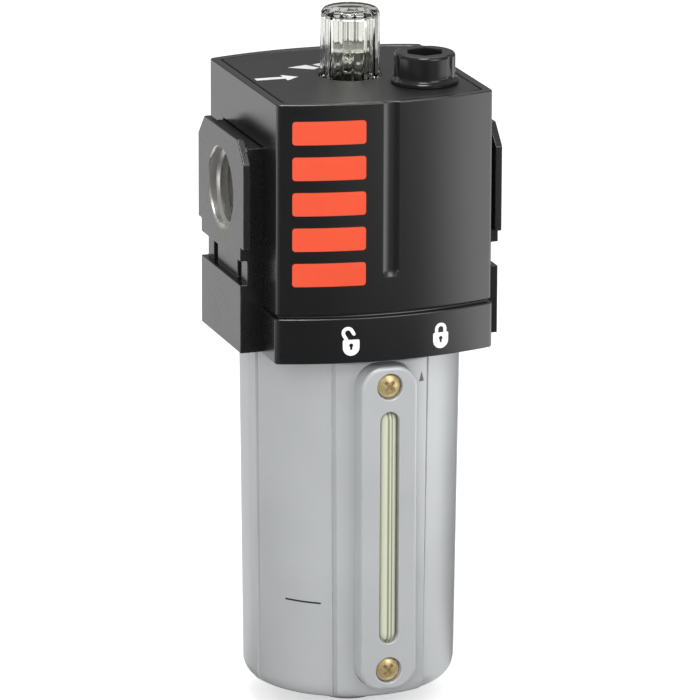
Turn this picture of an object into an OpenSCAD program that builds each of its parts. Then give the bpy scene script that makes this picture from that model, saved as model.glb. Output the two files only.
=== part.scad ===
// Air line lubricator: a clear sight dome and a fill plug on a covered head with two threaded
// ports, over a metal bowl with a sight strip. Millimetres, +Z up, origin under the foot on the
// bowl's axis. Air flows along +X, and the sight strip faces -Y.

/* [Head] */
// Width of the cover over its flat sides
cover_w = 58.8; // [56.8:0.2:62]
// Depth of the cover at its corners
cover_corner_depth = 58.2; // [56:0.2:62]
// Bulge of the front and back faces past the corners
cover_bow = 5.2; // [4:0.1:7]
// Wall of the cover
cover_t = 2.3; // [1.8:0.1:2.6]
// Radius of the cover's upright corners
cover_corner_r = 1.2; // [0.8:0.1:2]
// Height of the cover, from the parting groove to its rim
cover_h = 55.9; // [54:0.1:60]
// Height of the collar band under the parting groove
band_h = 12.1; // [10:0.1:14]
// How far the collar band stands proud of the cover's face
band_proud = 0.4; // [0.1:0.1:0.8]
// Height of the parting groove
groove_h = 0.9; // [0.5:0.1:1.5]
// Depth of the parting groove
groove_depth = 0.9; // [0.4:0.1:1.2]
// Gap between the casting and the inside of the cover
cover_clear = 0.15; // [0.1:0.05:0.3]
// Thickness of the top plate
top_plate_t = 2; // [1.4:0.05:2.5]
// How far the top plate lies below the rim
rim_drop = 0.1; // [0.05:0.05:0.4]
// Width of the upright flute in the front face
flute_w = 4.8; // [3:0.1:7]
// Depth of the upright flute
flute_depth = 0.7; // [0.3:0.05:1]
// Length of the upright flute, down from the rim
flute_len = 46.8; // [30:0.1:50]

/* [Ports] */
// Distance between the two port faces
port_span = 71; // [70:0.5:80]
// Height of the port axis above the head's underside
port_rise = 40.8; // [39:0.1:44]
// Radius of the port at the roots of its thread
port_r = 10.48; // [9:0.01:10.6]
// Depth of the port
port_depth = 17; // [14:0.5:17.5]
// Depth of the chamfer at the port's mouth
port_chamfer = 0.6; // [0.3:0.05:1]
// Radius of the air passage between the ports
passage_r = 7.5; // [6:0.1:8]
// Thickness of the clamp lip on the port face
lip_t = 1.9; // [1.2:0.1:2.5]
// Half width of the port block
block_half_w = 17.2; // [16:0.1:17.6]
// Gap between the port block and the cover's side slot
block_clear = 0.2; // [0.1:0.05:0.4]
// Rise of the port block above the port axis
block_top = 14.1; // [13:0.1:15.5]
// Half width of the lip's ears
ear_half_w = 19.9; // [19:0.1:21]
// Top of the lip above the port axis
lip_top = 16.1; // [15:0.1:18]
// Half width of the lip along its top
lip_top_half_w = 14.5; // [13:0.1:16]
// Top of the straight part of the ears above the port axis
ear_top = 10.5; // [9:0.1:12]
// Foot of the ears below the port axis
ear_foot = 12.2; // [10:0.1:13]
// Foot of the lip below the port axis
lip_foot = 15.8; // [15:0.1:17]
// Height of the clamp slot under the lip
slot_h = 6.4; // [5:0.1:8]
// Width of the two upright grooves in the clamp slot
slot_groove_w = 3.4; // [2:0.1:4]
// Centre distance of the two upright grooves from the middle
slot_groove_y = 10.4; // [9:0.1:12]
// Depth of the two upright grooves
slot_groove_depth = 1.2; // [0.5:0.1:1.6]
// How far the port block's underside lies above the head's underside
block_lift = 0.3; // [0.1:0.1:0.8]

/* [Sight dome] */
// Radius of the clear dome at its shoulder, over its grips
dome_r = 7.7; // [7.5:0.05:7.8]
// Radius of the clear dome at its foot, in the hole of the top plate
dome_foot_r = 7.95; // [7.8:0.05:8.05]
// Height of the dome above its foot
dome_h = 18.9; // [17:0.1:20]
// Radius of the dome's rounded shoulder
dome_shoulder_r = 1.7; // [1:0.1:2]
// Radius of the chamber inside the dome
dome_chamber_r = 6.2; // [5.8:0.1:6.4]
// Thickness of the dome's crown
dome_crown_t = 2; // [1.8:0.1:3]
// Number of grips around the dome
dome_ribs = 16; // [10:1:20]
// Radius of the grooves between the grips
dome_rib_r = 0.5; // [0.3:0.05:0.6]
// Radius of the dome's skirt, below its sealing ring
skirt_r = 7.35; // [7.2:0.05:7.4]
// Greatest depth of the metering groove round the skirt
meter_depth = 0.5; // [0.3:0.05:0.6]
// Angle from the middle of the dome's travel to fully open
meter_turn = 85; // [60:5:120]
// Radius of the bore through the skirt
skirt_bore_r = 5.3; // [5.2:0.05:5.4]
// Depth of the skirt's bore in the casting
dome_bore_depth = 9.7; // [9.5:0.1:11]
// Height of the sealing ring under the dome's foot
seal_ring_h = 1; // [0.8:0.05:1.2]
// Outer radius of the sealing ring
seal_ring_r = 8.3; // [8.2:0.05:8.5]
// Outer radius of the drip insert
insert_r = 5.1; // [4.8:0.05:5.15]
// Wall of the drip insert
insert_t = 0.9; // [0.6:0.1:1.2]
// Height of the drip insert above the top plate
insert_rise = 7.8; // [6:0.05:10]
// Thickness of the drip insert's partition
partition_t = 1.2; // [0.8:0.1:1.6]
// Radius of the drip tip's bulb
drip_bulb_r = 1.15; // [0.8:0.05:1.4]
// Distance from the partition to the middle of the bulb
drip_drop = 1.9; // [1.5:0.1:2.5]
// Radius of the hole that the drops fall through
drip_hole_r = 1.5; // [1:0.1:2]

/* [Fill plug] */
// Distance of the plug in from the cover's side
plug_inset = 13.9; // [13:0.1:14.1]
// Distance of the plug in front of the dome
plug_y = 15; // [14.5:0.1:16]
// Radius of the plug's head
plug_head_r = 8; // [7:0.1:8.4]
// Height of the plug's head above its flange
plug_head_h = 6.8; // [5:0.1:8]
// Radius of the plug's flange
plug_flange_r = 8.85; // [8.6:0.05:9.2]
// Thickness of the plug's flange
plug_flange_t = 1.3; // [0.8:0.1:2]
// Radius of the plug's collar, inside the top plate
plug_collar_r = 7.4; // [7.2:0.05:7.5]
// Radius of the plug's screwed shank
plug_shank_r = 5.85; // [5.4:0.05:5.9]
// Length of the plug's screwed shank below its seal
plug_shank_len = 6; // [5:0.1:6.5]
// Width across the flats of the key socket
plug_key_af = 8.6; // [7:0.1:9]
// Depth of the key socket
plug_key_depth = 5.5; // [4:0.1:6.5]
// Number of upright grooves in the plug's head
plug_grooves = 3; // [3:1:8]
// Radius of the fill hole down to the bowl
fill_hole_r = 2.8; // [2:0.1:2.9]
// Thickness of the plug's sealing ring
plug_ring_d = 1.6; // [1.2:0.1:1.8]

/* [Bowl] */
// Radius of the bowl at its shoulder
bowl_r_top = 29.1; // [28.8:0.1:29.4]
// Radius of the bowl at its base
bowl_r_base = 28; // [27.6:0.1:29]
// Height of the bowl from its base to its shoulder
bowl_h = 94.1; // [92:0.1:100]
// Radius of the bowl's bottom corner
bowl_corner_r = 4.2; // [3:0.1:7]
// Thickness of the bowl's floor
bowl_floor_t = 3; // [2:0.1:5]
// Radius of the inside of the bowl
bowl_bore_r = 24.2; // [23.8:0.1:24.3]
// Height of the closed foot under the bowl
foot_h = 6.1; // [4:0.1:8]
// Radius of the closed foot
foot_r = 8.1; // [7:0.1:10]
// Radius of the bowl's neck inside the head
neck_r = 26.6; // [26.4:0.05:26.7]
// Height of the bowl's neck above the shoulder
neck_h = 17; // [16.4:0.1:17.2]
// Gap between the bowl's shoulder and the head's underside
head_gap = 0.5; // [0.3:0.1:0.8]
// Radius of the socket in the casting that the neck turns in
socket_r = 26.85; // [26.8:0.05:26.95]
// Height of the socket in the casting
socket_h = 17.5; // [17.4:0.1:18.5]
// Radius of the bowl's locking lugs
lug_r = 28.2; // [27.8:0.1:28.3]
// Height of the bowl's locking lugs
lug_h = 3; // [2.5:0.1:3.2]
// Height of the lugs' underside above the shoulder
lug_rise = 3.8; // [3.7:0.1:4.4]
// Angle that a lug covers
lug_angle = 28; // [20:1:30]
// Number of locking lugs
lug_count = 3; // [2:1:3]
// Angle that the bowl turns between locked and open
lock_turn = 40; // [35:1:45]
// Running gap round the lugs
lug_clear = 0.3; // [0.2:0.05:0.4]
// Thickness of the bowl's sealing ring
bowl_ring_d = 1.6; // [1.4:0.1:1.7]

/* [Sight strip] */
// Width of the sight plate
plate_w = 15.4; // [14.8:0.1:16]
// Distance of the sight plate's upper end below the bowl's shoulder
plate_drop = 1.3; // [1.2:0.1:4]
// Height of the sight plate's lower end above the bowl's base
plate_rise = 4.6; // [4.2:0.1:5.2]
// Radius of the sight plate's corners
plate_corner_r = 6; // [4:0.1:7]
// Distance of the sight plate's face from the bowl's axis
plate_front = 34.3; // [33.8:0.1:34.6]
// Distance of the flat land behind the sight plate from the bowl's axis
land_front = 28.6; // [28.2:0.1:28.8]
// Width of the sight slot
sight_slot_w = 5.3; // [3.5:0.1:5.4]
// Mean distance from the ends of the sight slot to the screws
slot_gap = 7.1; // [7:0.1:12]
// Height of the sight slot's middle above the middle between the screws
slot_up = 0.3; // [0:0.1:1]
// Width of the glass behind the slot
glass_w = 8.8; // [8:0.1:9]
// Thickness of the glass behind the slot
glass_t = 3.1; // [2:0.1:3.1]
// Thickness of the gasket behind the glass
gasket_t = 0.5; // [0.3:0.05:0.6]
// Distance of the screws from the ends of the sight plate
screw_inset = 5.4; // [4.6:0.1:6]
// Radius of the screw heads
screw_head_r = 3.1; // [2.8:0.05:3.2]
// Height of the screw heads
screw_head_h = 2; // [1.6:0.1:2.2]
// Radius of the screws' shanks
screw_r = 1.6; // [1.2:0.05:1.65]
// Length of the screws' shanks
screw_len = 6.8; // [6:0.1:6.9]
// Half angle of the raised pad round the sight plate
pad_half_angle = 24.5; // [22:0.5:27]
// Height of the raised pad at the bowl's shoulder
pad_t = 0.6; // [0.3:0.05:0.8]
// Distance of the two sight holes from the ends of the sight slot
sight_hole_inset = 3.9; // [2.5:0.1:8]

/* [Oil and air valves] */
// Distance of the siphon tube behind the bowl's axis
siphon_y = 11; // [10.2:0.1:12]
// Outer radius of the siphon tube
tube_r = 2.4; // [2:0.1:2.8]
// Wall of the siphon tube
tube_t = 0.9; // [0.6:0.1:1]
// Height of the pickup strainer above the bowl's floor
strainer_gap = 1.4; // [1:0.1:4]
// Radius of the pickup strainer
strainer_r = 4.5; // [3.5:0.1:6]
// Length of the pickup strainer
strainer_h = 13.5; // [8:0.1:16]
// Radius of the siphon adaptor in the casting
adaptor_r = 3; // [2.6:0.05:3.4]
// Radius of the siphon's check ball
siphon_ball_r = 1.25; // [1.1:0.05:1.3]
// Distance of the air valve on the inlet side of the axis
air_valve_x = 11; // [9:0.1:14]
// Radius of the air valve's check ball
air_ball_r = 1.5; // [1.2:0.05:1.7]
// Radius of the air valve's seat insert
air_seat_r = 2.1; // [1.9:0.05:2.4]
// Distance of the flow vane on the inlet side of the axis
vane_x = 5; // [4:0.1:6]
// Thickness of the flow vane
vane_t = 0.8; // [0.5:0.1:1.2]

/* [Hidden] */
$fn = 96;
// Overshoot of a cut past the face that it opens
over = 1;
// Gap of a push fit
push_gap = 0.05;

// Heights, from the foot up
bowl_base_z = foot_h;
shoulder_z = bowl_base_z + bowl_h;
head_z = shoulder_z + head_gap;
groove_z = head_z + band_h;
cover_z = groove_z + groove_h;
rim_z = cover_z + cover_h;
plate_top_z = rim_z - rim_drop;
cast_top_z = plate_top_z - top_plate_t;
port_z = head_z + port_rise;
socket_top_z = head_z + socket_h;

// The bowed outline of the cover
mid_half_depth = cover_corner_depth / 2 + cover_bow;
bow_r = (pow(cover_w / 2, 2) + pow(cover_bow, 2)) / (2 * cover_bow);
bow_centre_y = bow_r - mid_half_depth;
cast_inset = cover_t + cover_clear;
// Corners of an outline with a smaller radius than this are left square
corner_min = 0.4;

// The sight dome
skirt_gap = 0.1;
dome_bore_r = skirt_r + skirt_gap;
dome_bore_z = cast_top_z - dome_bore_depth;
skirt_z = dome_bore_z + 0.3;
dome_foot_z = cast_top_z + seal_ring_h + 0.1;
dome_top_z = dome_foot_z + dome_h;
dome_chamber_top_z = dome_top_z - dome_crown_t;
skirt_ring_floor_r = skirt_r - 1;
dome_ring_d = dome_bore_r - skirt_ring_floor_r - push_gap;
skirt_ring_z = skirt_z + 1.15;
oil_port_z = skirt_z + 2.9;
oil_port_r = 0.8;
meter_groove_h = 1.2;
clip_z = skirt_z + 4.3;
clip_h = 0.9;
clip_groove_depth = 0.65;
insert_top_z = plate_top_z + insert_rise;

// The fill plug
plug_x = cover_w / 2 - plug_inset;
plug_bore_r = plug_shank_r + 0.2;
plug_counter_r = plug_collar_r + 0.2;
plug_counter_depth = 1.9;
plug_counter_z = cast_top_z - plug_counter_depth;
plug_shank_z = plug_counter_z - plug_shank_len + 0.9;
plug_bore_z = plug_shank_z - 1;
plug_flange_z = plate_top_z + 0.1;
plug_top_z = plug_flange_z + plug_flange_t + plug_head_h;
plug_hex_turn = 11.6;
plug_groove_turn = -52.4;
fill_hole_x = plug_x - 5.5;
fill_hole_y = plug_y - 2.7;

// The bowl
bowl_draft = atan((bowl_r_top - bowl_r_base) / bowl_h);
bowl_corner_z = bowl_base_z + bowl_corner_r;
bowl_corner_x = bowl_radius(bowl_corner_z) - bowl_corner_r / cos(bowl_draft);
bowl_floor_z = bowl_base_z + bowl_floor_t;
lug_z = shoulder_z + lug_rise;
lug_middle = 30;
bowl_ring_floor_r = socket_r - push_gap - bowl_ring_d;
bowl_ring_z = shoulder_z + 13.3;

// The sight strip
plate_z = bowl_base_z + plate_rise;
plate_h = bowl_h - plate_rise - plate_drop;
screw_pitch = plate_h - 2 * screw_inset;
sight_slot_len = screw_pitch - 2 * slot_gap;
sight_hole_pitch = sight_slot_len - 2 * sight_hole_inset;
strip_z = plate_z + plate_h / 2;
slot_z = strip_z + slot_up;
plate_clear = 0.3;
glass_clear = 0.2;
glass_len = sight_slot_len + 2 * 1.2;
channel_w = 3.2;
channel_depth = 1.2;
sight_hole_r = 0.9;
screw_seat = plate_front - screw_head_h - 0.3;
counterbore_r = screw_head_r + 0.4;

// Siphon and air valve
adaptor_flange_r = adaptor_r + 1.2;
adaptor_flange_t = 3;
siphon_seat_z = socket_top_z + 2.7;
siphon_top_z = socket_top_z + 5.8;
siphon_chamber_r = siphon_ball_r + 0.35;
siphon_hole_r = 0.8;
oil_passage_r = 1;
strainer_z = bowl_floor_z + strainer_gap;
strainer_socket = 2.1;
barb_r = tube_r - tube_t - push_gap;
barb_len = 8;
air_seat_top_z = socket_top_z + 3.2;
air_chamber_top_z = air_seat_top_z + 2 * air_ball_r + 1.3;
air_hole_r = 0.8;
ball_gap = 0.02;

// Half width over which an outline's bowed faces run, up to where its corners begin
function outline_flat(half_w, arc_r, corner_r) =
    corner_r > corner_min ? (half_w - corner_r) * arc_r / (arc_r - corner_r) : half_w;

// Radius of the bowl's drafted wall at a height
function bowl_radius(z) =
    bowl_r_base + (bowl_r_top - bowl_r_base) * (z - bowl_base_z) / bowl_h;

// Height of a ball's middle above the rim of the hole that it rests on
function ball_rest(ball_r, hole_r) = sqrt(pow(ball_r, 2) - pow(hole_r, 2)) + ball_gap;

// The cover's outline with bowed front and back faces, grown or shrunk by g
module head_outline(g) {
    half_w = cover_w / 2 + g;
    arc_r = bow_r + g;
    corner_r = cover_corner_r + g;
    intersection() {
        translate([0, bow_centre_y]) circle(arc_r);
        translate([0, -bow_centre_y]) circle(arc_r);
        square([2 * outline_flat(half_w, arc_r, corner_r), 4 * mid_half_depth], center = true);
    }
    if (corner_r > corner_min) {
        corner_x = half_w - corner_r;
        corner_y = sqrt(pow(arc_r - corner_r, 2) - pow(corner_x, 2)) - bow_centre_y;
        square([2 * half_w, 2 * corner_y], center = true);
        for (sx = [-1, 1], sy = [-1, 1])
            translate([sx * corner_x, sy * corner_y]) circle(corner_r);
    }
}

// An upright rounded rectangle in the X-Z plane, from depth f0 to f1 in front of the axis
module front_pad(w, h, r, f0, f1) {
    translate([0, -f0, strip_z])
        rotate([90, 0, 0])
            linear_extrude(f1 - f0) {
                square([w, h - 2 * r], center = true);
                square([w - 2 * r, h], center = true);
                for (sx = [-1, 1], sz = [-1, 1])
                    translate([sx * (w / 2 - r), sz * (h / 2 - r)]) circle(r);
            }
}

// A slot with round ends in the same plane
module front_slot(w, h, f0, f1) {
    translate([0, -f0, slot_z])
        rotate([90, 0, 0])
            linear_extrude(f1 - f0) {
                square([w, h - w], center = true);
                for (sz = [-1, 1]) translate([0, sz * (h - w) / 2]) circle(w / 2);
            }
}

// A cylinder that lies along Y, from depth f0 to f1 in front of the axis
module front_rod(x, z, r, f0, f1) {
    translate([x, -f0, z]) rotate([90, 0, 0]) cylinder(r = r, h = f1 - f0);
}

// A ring of round section
module ring(middle_r, section_d) {
    rotate_extrude() translate([middle_r, 0]) circle(d = section_d, $fn = 32);
}

// A flat ring
module tube(r_out, r_in, h) {
    difference() {
        cylinder(r = r_out, h = h);
        translate([0, 0, -over]) cylinder(r = r_in, h = h + 2 * over);
    }
}

// What stands out on the outlet side: block, clamp lip and lower block
module port_block() {
    block_z = head_z + block_lift;
    slot_top_z = port_z - lip_foot;
    back_x = cover_w / 2 - cover_t - over;
    translate([back_x, -block_half_w, block_z])
        cube([port_span / 2 - lip_t - back_x, 2 * block_half_w, port_z + block_top - block_z]);
    translate([port_span / 2 - lip_t, 0, port_z])
        rotate([90, 0, 90])
            linear_extrude(lip_t)
                polygon([
                    [-lip_top_half_w, lip_top], [lip_top_half_w, lip_top],
                    [ear_half_w, ear_top], [ear_half_w, -ear_foot],
                    [block_half_w, -ear_foot], [block_half_w, -lip_foot],
                    [-block_half_w, -lip_foot], [-block_half_w, -ear_foot],
                    [-ear_half_w, -ear_foot], [-ear_half_w, ear_top]
                ]);
    translate([port_span / 2 - lip_t, -block_half_w, block_z])
        cube([lip_t, 2 * block_half_w, slot_top_z - slot_h - block_z]);
}

// What is cut on the outlet side: the port, its chamfer and the two clamp grooves
module port_cuts() {
    translate([port_span / 2 - port_depth, 0, port_z])
        rotate([0, 90, 0]) cylinder(r = port_r, h = port_depth + over);
    translate([port_span / 2 - port_chamfer, 0, port_z])
        rotate([0, 90, 0])
            cylinder(r1 = port_r, r2 = port_r + 2 * port_chamfer, h = 2 * port_chamfer);
    for (s = [-1, 1])
        translate([
            port_span / 2 - lip_t - slot_groove_depth,
            s * slot_groove_y - slot_groove_w / 2,
            port_z - lip_foot - slot_h
        ])
            cube([slot_groove_depth + over, slot_groove_w, slot_h]);
}

// The locking track for the lugs: an upright entry and the turn that locks
module lug_track() {
    entry_angle = lug_angle + 4;
    stop_angle = 0.7;
    track_angle = lock_turn + entry_angle / 2 + lug_angle / 2 + stop_angle;
    for (i = [0 : lug_count - 1])
        rotate([0, 0, lug_middle + i * 360 / lug_count - lock_turn - entry_angle / 2]) {
            rotate_extrude(angle = entry_angle)
                translate([socket_r - over, head_z - over])
                    square([lug_r + lug_clear - socket_r + over,
                            lug_z + lug_h + lug_clear - head_z + over]);
            rotate_extrude(angle = track_angle)
                translate([socket_r - over, lug_z - lug_clear])
                    square([lug_r + lug_clear - socket_r + over, lug_h + 2 * lug_clear]);
        }
}

module body_casting() {
    color([0.16, 0.16, 0.17]) difference() {
        union() {
            translate([0, 0, head_z])
                linear_extrude(cast_top_z - head_z) head_outline(-cast_inset);
            port_block();
            mirror([1, 0, 0]) port_block();
        }
        port_cuts();
        mirror([1, 0, 0]) port_cuts();
        translate([-port_span / 2 + port_depth - over, 0, port_z])
            rotate([0, 90, 0])
                cylinder(r = passage_r, h = port_span - 2 * port_depth + 2 * over);
        // Bowl socket
        translate([0, 0, head_z - over]) cylinder(r = socket_r, h = socket_h + over);
        lug_track();
        // Dome bore, its clip groove and the way down for the drops
        translate([0, 0, dome_bore_z]) cylinder(r = dome_bore_r, h = dome_bore_depth + over);
        translate([0, 0, clip_z - 0.1])
            cylinder(r = dome_bore_r + clip_groove_depth, h = clip_h + 0.2);
        translate([0, 0, port_z]) cylinder(r = drip_hole_r, h = dome_bore_z - port_z + over);
        // Fill plug bore, its seal's seat and the fill hole
        translate([plug_x, -plug_y, plug_bore_z])
            cylinder(r = plug_bore_r, h = cast_top_z - plug_bore_z + over);
        translate([plug_x, -plug_y, plug_counter_z])
            cylinder(r = plug_counter_r, h = plug_counter_depth + over);
        translate([fill_hole_x, -fill_hole_y, head_z + socket_h - over])
            cylinder(r = fill_hole_r, h = plug_bore_z - socket_top_z + 2 * over);
        // Siphon seat and oil passage
        translate([0, siphon_y, socket_top_z - over])
            cylinder(r = adaptor_r + push_gap, h = siphon_top_z - socket_top_z + over);
        translate([0, siphon_y, siphon_top_z - over])
            cylinder(r = oil_passage_r, h = oil_port_z - siphon_top_z + over + oil_port_r);
        translate([0, dome_bore_r - over, oil_port_z])
            rotate([-90, 0, 0]) cylinder(r = oil_port_r, h = siphon_y - dome_bore_r + over);
        // Air valve chamber and its hole up to the air passage
        translate([-air_valve_x, 0, socket_top_z - over])
            cylinder(r = air_seat_r + push_gap, h = air_chamber_top_z - socket_top_z + over);
        translate([-air_valve_x, 0, air_chamber_top_z - over])
            cylinder(r = air_hole_r, h = port_z - air_chamber_top_z);
    }
}

module cover() {
    slot_top_z = port_z + block_top + block_clear;
    slot_half_w = block_half_w + block_clear;
    flute_r = (pow(flute_w / 2, 2) + pow(flute_depth, 2)) / (2 * flute_depth);
    flute_y = -(mid_half_depth + flute_r - flute_depth);
    flute_foot_z = rim_z - flute_len + flute_w / 2;
    color([0.11, 0.11, 0.11]) difference() {
        union() {
            translate([0, 0, groove_z])
                linear_extrude(rim_z - groove_z) head_outline(0);
            translate([0, 0, head_z]) linear_extrude(band_h) head_outline(band_proud);
        }
        translate([0, 0, head_z - over])
            linear_extrude(rim_z - head_z + 2 * over) head_outline(-cover_t);
        translate([0, 0, groove_z])
            linear_extrude(groove_h)
                difference() {
                    head_outline(over);
                    head_outline(-groove_depth);
                }
        translate([-port_span / 2, -slot_half_w, head_z - over])
            cube([port_span, 2 * slot_half_w, slot_top_z - head_z + over]);
        translate([0, flute_y, flute_foot_z])
            rotate_extrude()
                intersection() {
                    translate([0, -flute_r]) square([flute_r + over, flute_len + flute_r]);
                    union() {
                        circle(flute_r);
                        square([flute_r, flute_len]);
                    }
                }
    }
}

module top_plate() {
    color([0.2, 0.2, 0.2]) difference() {
        translate([0, 0, cast_top_z]) linear_extrude(top_plate_t) head_outline(-cast_inset);
        translate([0, 0, cast_top_z - over])
            cylinder(r = seal_ring_r + push_gap, h = top_plate_t + 2 * over);
        translate([plug_x, -plug_y, cast_top_z - over])
            cylinder(r = plug_counter_r + push_gap, h = top_plate_t + 2 * over);
    }
}

module dome_seal_ring() {
    color([0.04, 0.04, 0.04])
        translate([0, 0, cast_top_z]) tube(seal_ring_r, skirt_r + skirt_gap, seal_ring_h);
}

module dome_retaining_clip() {
    clip_opening = 30;
    color([0.6, 0.6, 0.62])
        translate([0, 0, clip_z])
            rotate([0, 0, -90 + clip_opening / 2])
                rotate_extrude(angle = 360 - clip_opening)
                    translate([skirt_r - 0.35, 0])
                        square([dome_bore_r + clip_groove_depth - skirt_r + 0.15, clip_h]);
}

module drip_insert() {
    partition_z = insert_top_z - partition_t;
    bulb_z = partition_z - drip_drop;
    color([0.92, 0.93, 0.9, 0.6]) difference() {
        union() {
            translate([0, 0, dome_bore_z])
                tube(insert_r, insert_r - insert_t, insert_top_z - dome_bore_z);
            translate([0, 0, partition_z]) cylinder(r = insert_r, h = partition_t);
            translate([0, 0, bulb_z]) cylinder(r = drip_bulb_r / 2, h = drip_drop + partition_t / 2);
            translate([0, 0, bulb_z]) sphere(r = drip_bulb_r);
        }
        translate([0, 0, bulb_z - 2 * drip_bulb_r])
            cylinder(r = 0.3, h = 2 * drip_bulb_r + drip_drop + partition_t + over);
    }
}

module sight_dome() {
    color([0.9, 0.92, 0.86, 0.4]) difference() {
        union() {
            translate([0, 0, dome_foot_z])
                cylinder(r1 = dome_foot_r, r2 = dome_r, h = dome_h - dome_shoulder_r);
            translate([0, 0, dome_foot_z])
                cylinder(r = dome_r - dome_shoulder_r, h = dome_h);
            translate([0, 0, dome_top_z - dome_shoulder_r])
                ring(dome_r - dome_shoulder_r, 2 * dome_shoulder_r);
            translate([0, 0, skirt_z]) cylinder(r = skirt_r, h = dome_foot_z - skirt_z + over);
        }
        translate([0, 0, skirt_z - over])
            cylinder(r = skirt_bore_r, h = dome_foot_z - skirt_z + 2 * over);
        translate([0, 0, dome_foot_z])
            cylinder(r = dome_chamber_r, h = dome_chamber_top_z - dome_foot_z);
        for (i = [0 : dome_ribs - 1])
            rotate([0, 0, (i + 0.5) * 360 / dome_ribs])
                translate([dome_r + dome_rib_r / 4, 0, dome_foot_z - over])
                    cylinder(r = dome_rib_r, h = dome_h + 2 * over, $fn = 24);
        translate([0, 0, skirt_ring_z - dome_ring_d / 2 - push_gap])
            tube(skirt_r + over, skirt_ring_floor_r, dome_ring_d + 2 * push_gap);
        translate([0, 0, clip_z - 0.2]) tube(skirt_r + over, skirt_r - 0.45, clip_h + 0.4);
        // The metering groove fades out away from the hole that lets the oil through the skirt
        rotate([0, 0, -meter_turn]) {
            translate([0, 0, oil_port_z - meter_groove_h / 2])
                difference() {
                    cylinder(r = skirt_r + over, h = meter_groove_h);
                    translate([0, -meter_depth / 2, -over])
                        cylinder(r = skirt_r - meter_depth / 2, h = meter_groove_h + 2 * over);
                }
            translate([0, 0, oil_port_z])
                rotate([-90, 0, 0]) cylinder(r = oil_port_r, h = skirt_r + over);
        }
    }
}

module dome_o_ring() {
    color([0.05, 0.05, 0.05])
        translate([0, 0, skirt_ring_z]) ring(skirt_ring_floor_r + dome_ring_d / 2, dome_ring_d);
}

module fill_plug_o_ring() {
    color([0.05, 0.05, 0.05])
        translate([plug_x, -plug_y, plug_counter_z + plug_ring_d / 2])
            ring(plug_shank_r + push_gap + plug_ring_d / 2, plug_ring_d);
}

module fill_plug() {
    color([0.08, 0.08, 0.08])
        translate([plug_x, -plug_y, 0]) difference() {
            union() {
                translate([0, 0, plug_shank_z])
                    cylinder(r = plug_shank_r, h = plug_flange_z - plug_shank_z);
                translate([0, 0, plug_counter_z + plug_ring_d + push_gap])
                    cylinder(
                        r = plug_collar_r,
                        h = plug_flange_z - plug_counter_z - plug_ring_d - push_gap
                    );
                translate([0, 0, plug_flange_z])
                    cylinder(r = plug_flange_r, h = plug_flange_t);
                translate([0, 0, plug_flange_z])
                    cylinder(r = plug_head_r, h = plug_top_z - plug_flange_z);
            }
            translate([0, 0, plug_top_z - plug_key_depth])
                rotate([0, 0, plug_hex_turn])
                    cylinder(
                        r = plug_key_af / 2 / cos(30), h = plug_key_depth + over, $fn = 6
                    );
            for (i = [0 : plug_grooves - 1])
                rotate([0, 0, plug_groove_turn + i * 360 / plug_grooves])
                    translate([plug_head_r + 0.6, 0, plug_flange_z + plug_flange_t])
                        cylinder(r = 1.1, h = plug_head_h + over, $fn = 24);
        }
}

module vane_carrier() {
    carrier_t = 2.6;
    window_r = passage_r - 1.3;
    color([0.85, 0.85, 0.82])
        translate([-vane_x - carrier_t, 0, port_z])
            rotate([0, 90, 0])
                difference() {
                    cylinder(r = passage_r - push_gap, h = carrier_t);
                    difference() {
                        translate([0, 0, -over]) cylinder(r = window_r, h = carrier_t + 2 * over);
                        translate([-2 * window_r, -window_r, -over])
                            cube([window_r * 1.45, 2 * window_r, carrier_t + 2 * over]);
                    }
                }
}

module flow_vane() {
    vane_gap = 0.9;
    color([0.12, 0.12, 0.12])
        translate([-vane_x, 0, port_z])
            rotate([0, 90, 0])
                intersection() {
                    cylinder(r = passage_r - vane_gap, h = vane_t);
                    translate([-passage_r, -passage_r, 0])
                        cube([2 * passage_r - 2, 2 * passage_r, vane_t]);
                }
}

module siphon_adaptor() {
    flange_z = socket_top_z - adaptor_flange_t;
    color([0.86, 0.86, 0.84])
        translate([0, siphon_y, 0]) difference() {
            union() {
                translate([0, 0, flange_z])
                    cylinder(r = adaptor_flange_r, h = adaptor_flange_t);
                translate([0, 0, flange_z])
                    cylinder(r = adaptor_r, h = siphon_top_z - flange_z - push_gap);
                translate([0, 0, flange_z - barb_len]) cylinder(r = barb_r, h = barb_len + over);
            }
            translate([0, 0, flange_z - barb_len - over])
                cylinder(r = siphon_hole_r, h = siphon_seat_z - flange_z + barb_len + 2 * over);
            translate([0, 0, siphon_seat_z])
                cylinder(r = siphon_chamber_r, h = siphon_top_z - siphon_seat_z + over);
        }
}

module siphon_check_ball() {
    color([0.7, 0.7, 0.72])
        translate([0, siphon_y, siphon_seat_z + ball_rest(siphon_ball_r, siphon_hole_r)])
            sphere(r = siphon_ball_r);
}

module siphon_tube() {
    tube_top_z = socket_top_z - adaptor_flange_t;
    tube_foot_z = strainer_z + strainer_h - strainer_socket;
    color([0.9, 0.9, 0.88, 0.7])
        translate([0, siphon_y, tube_foot_z]) tube(tube_r, tube_r - tube_t, tube_top_z - tube_foot_z);
}

module pickup_strainer() {
    core_r = tube_r - tube_t;
    color([0.72, 0.55, 0.32])
        translate([0, siphon_y, strainer_z]) difference() {
            cylinder(r = strainer_r, h = strainer_h);
            translate([0, 0, 2]) cylinder(r = core_r, h = strainer_h);
            translate([0, 0, strainer_h - strainer_socket])
                cylinder(r = tube_r + push_gap, h = strainer_socket + over);
        }
}

module air_valve_seat() {
    color([0.78, 0.62, 0.3])
        translate([-air_valve_x, 0, socket_top_z])
            tube(air_seat_r, air_hole_r, air_seat_top_z - socket_top_z);
}

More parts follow.
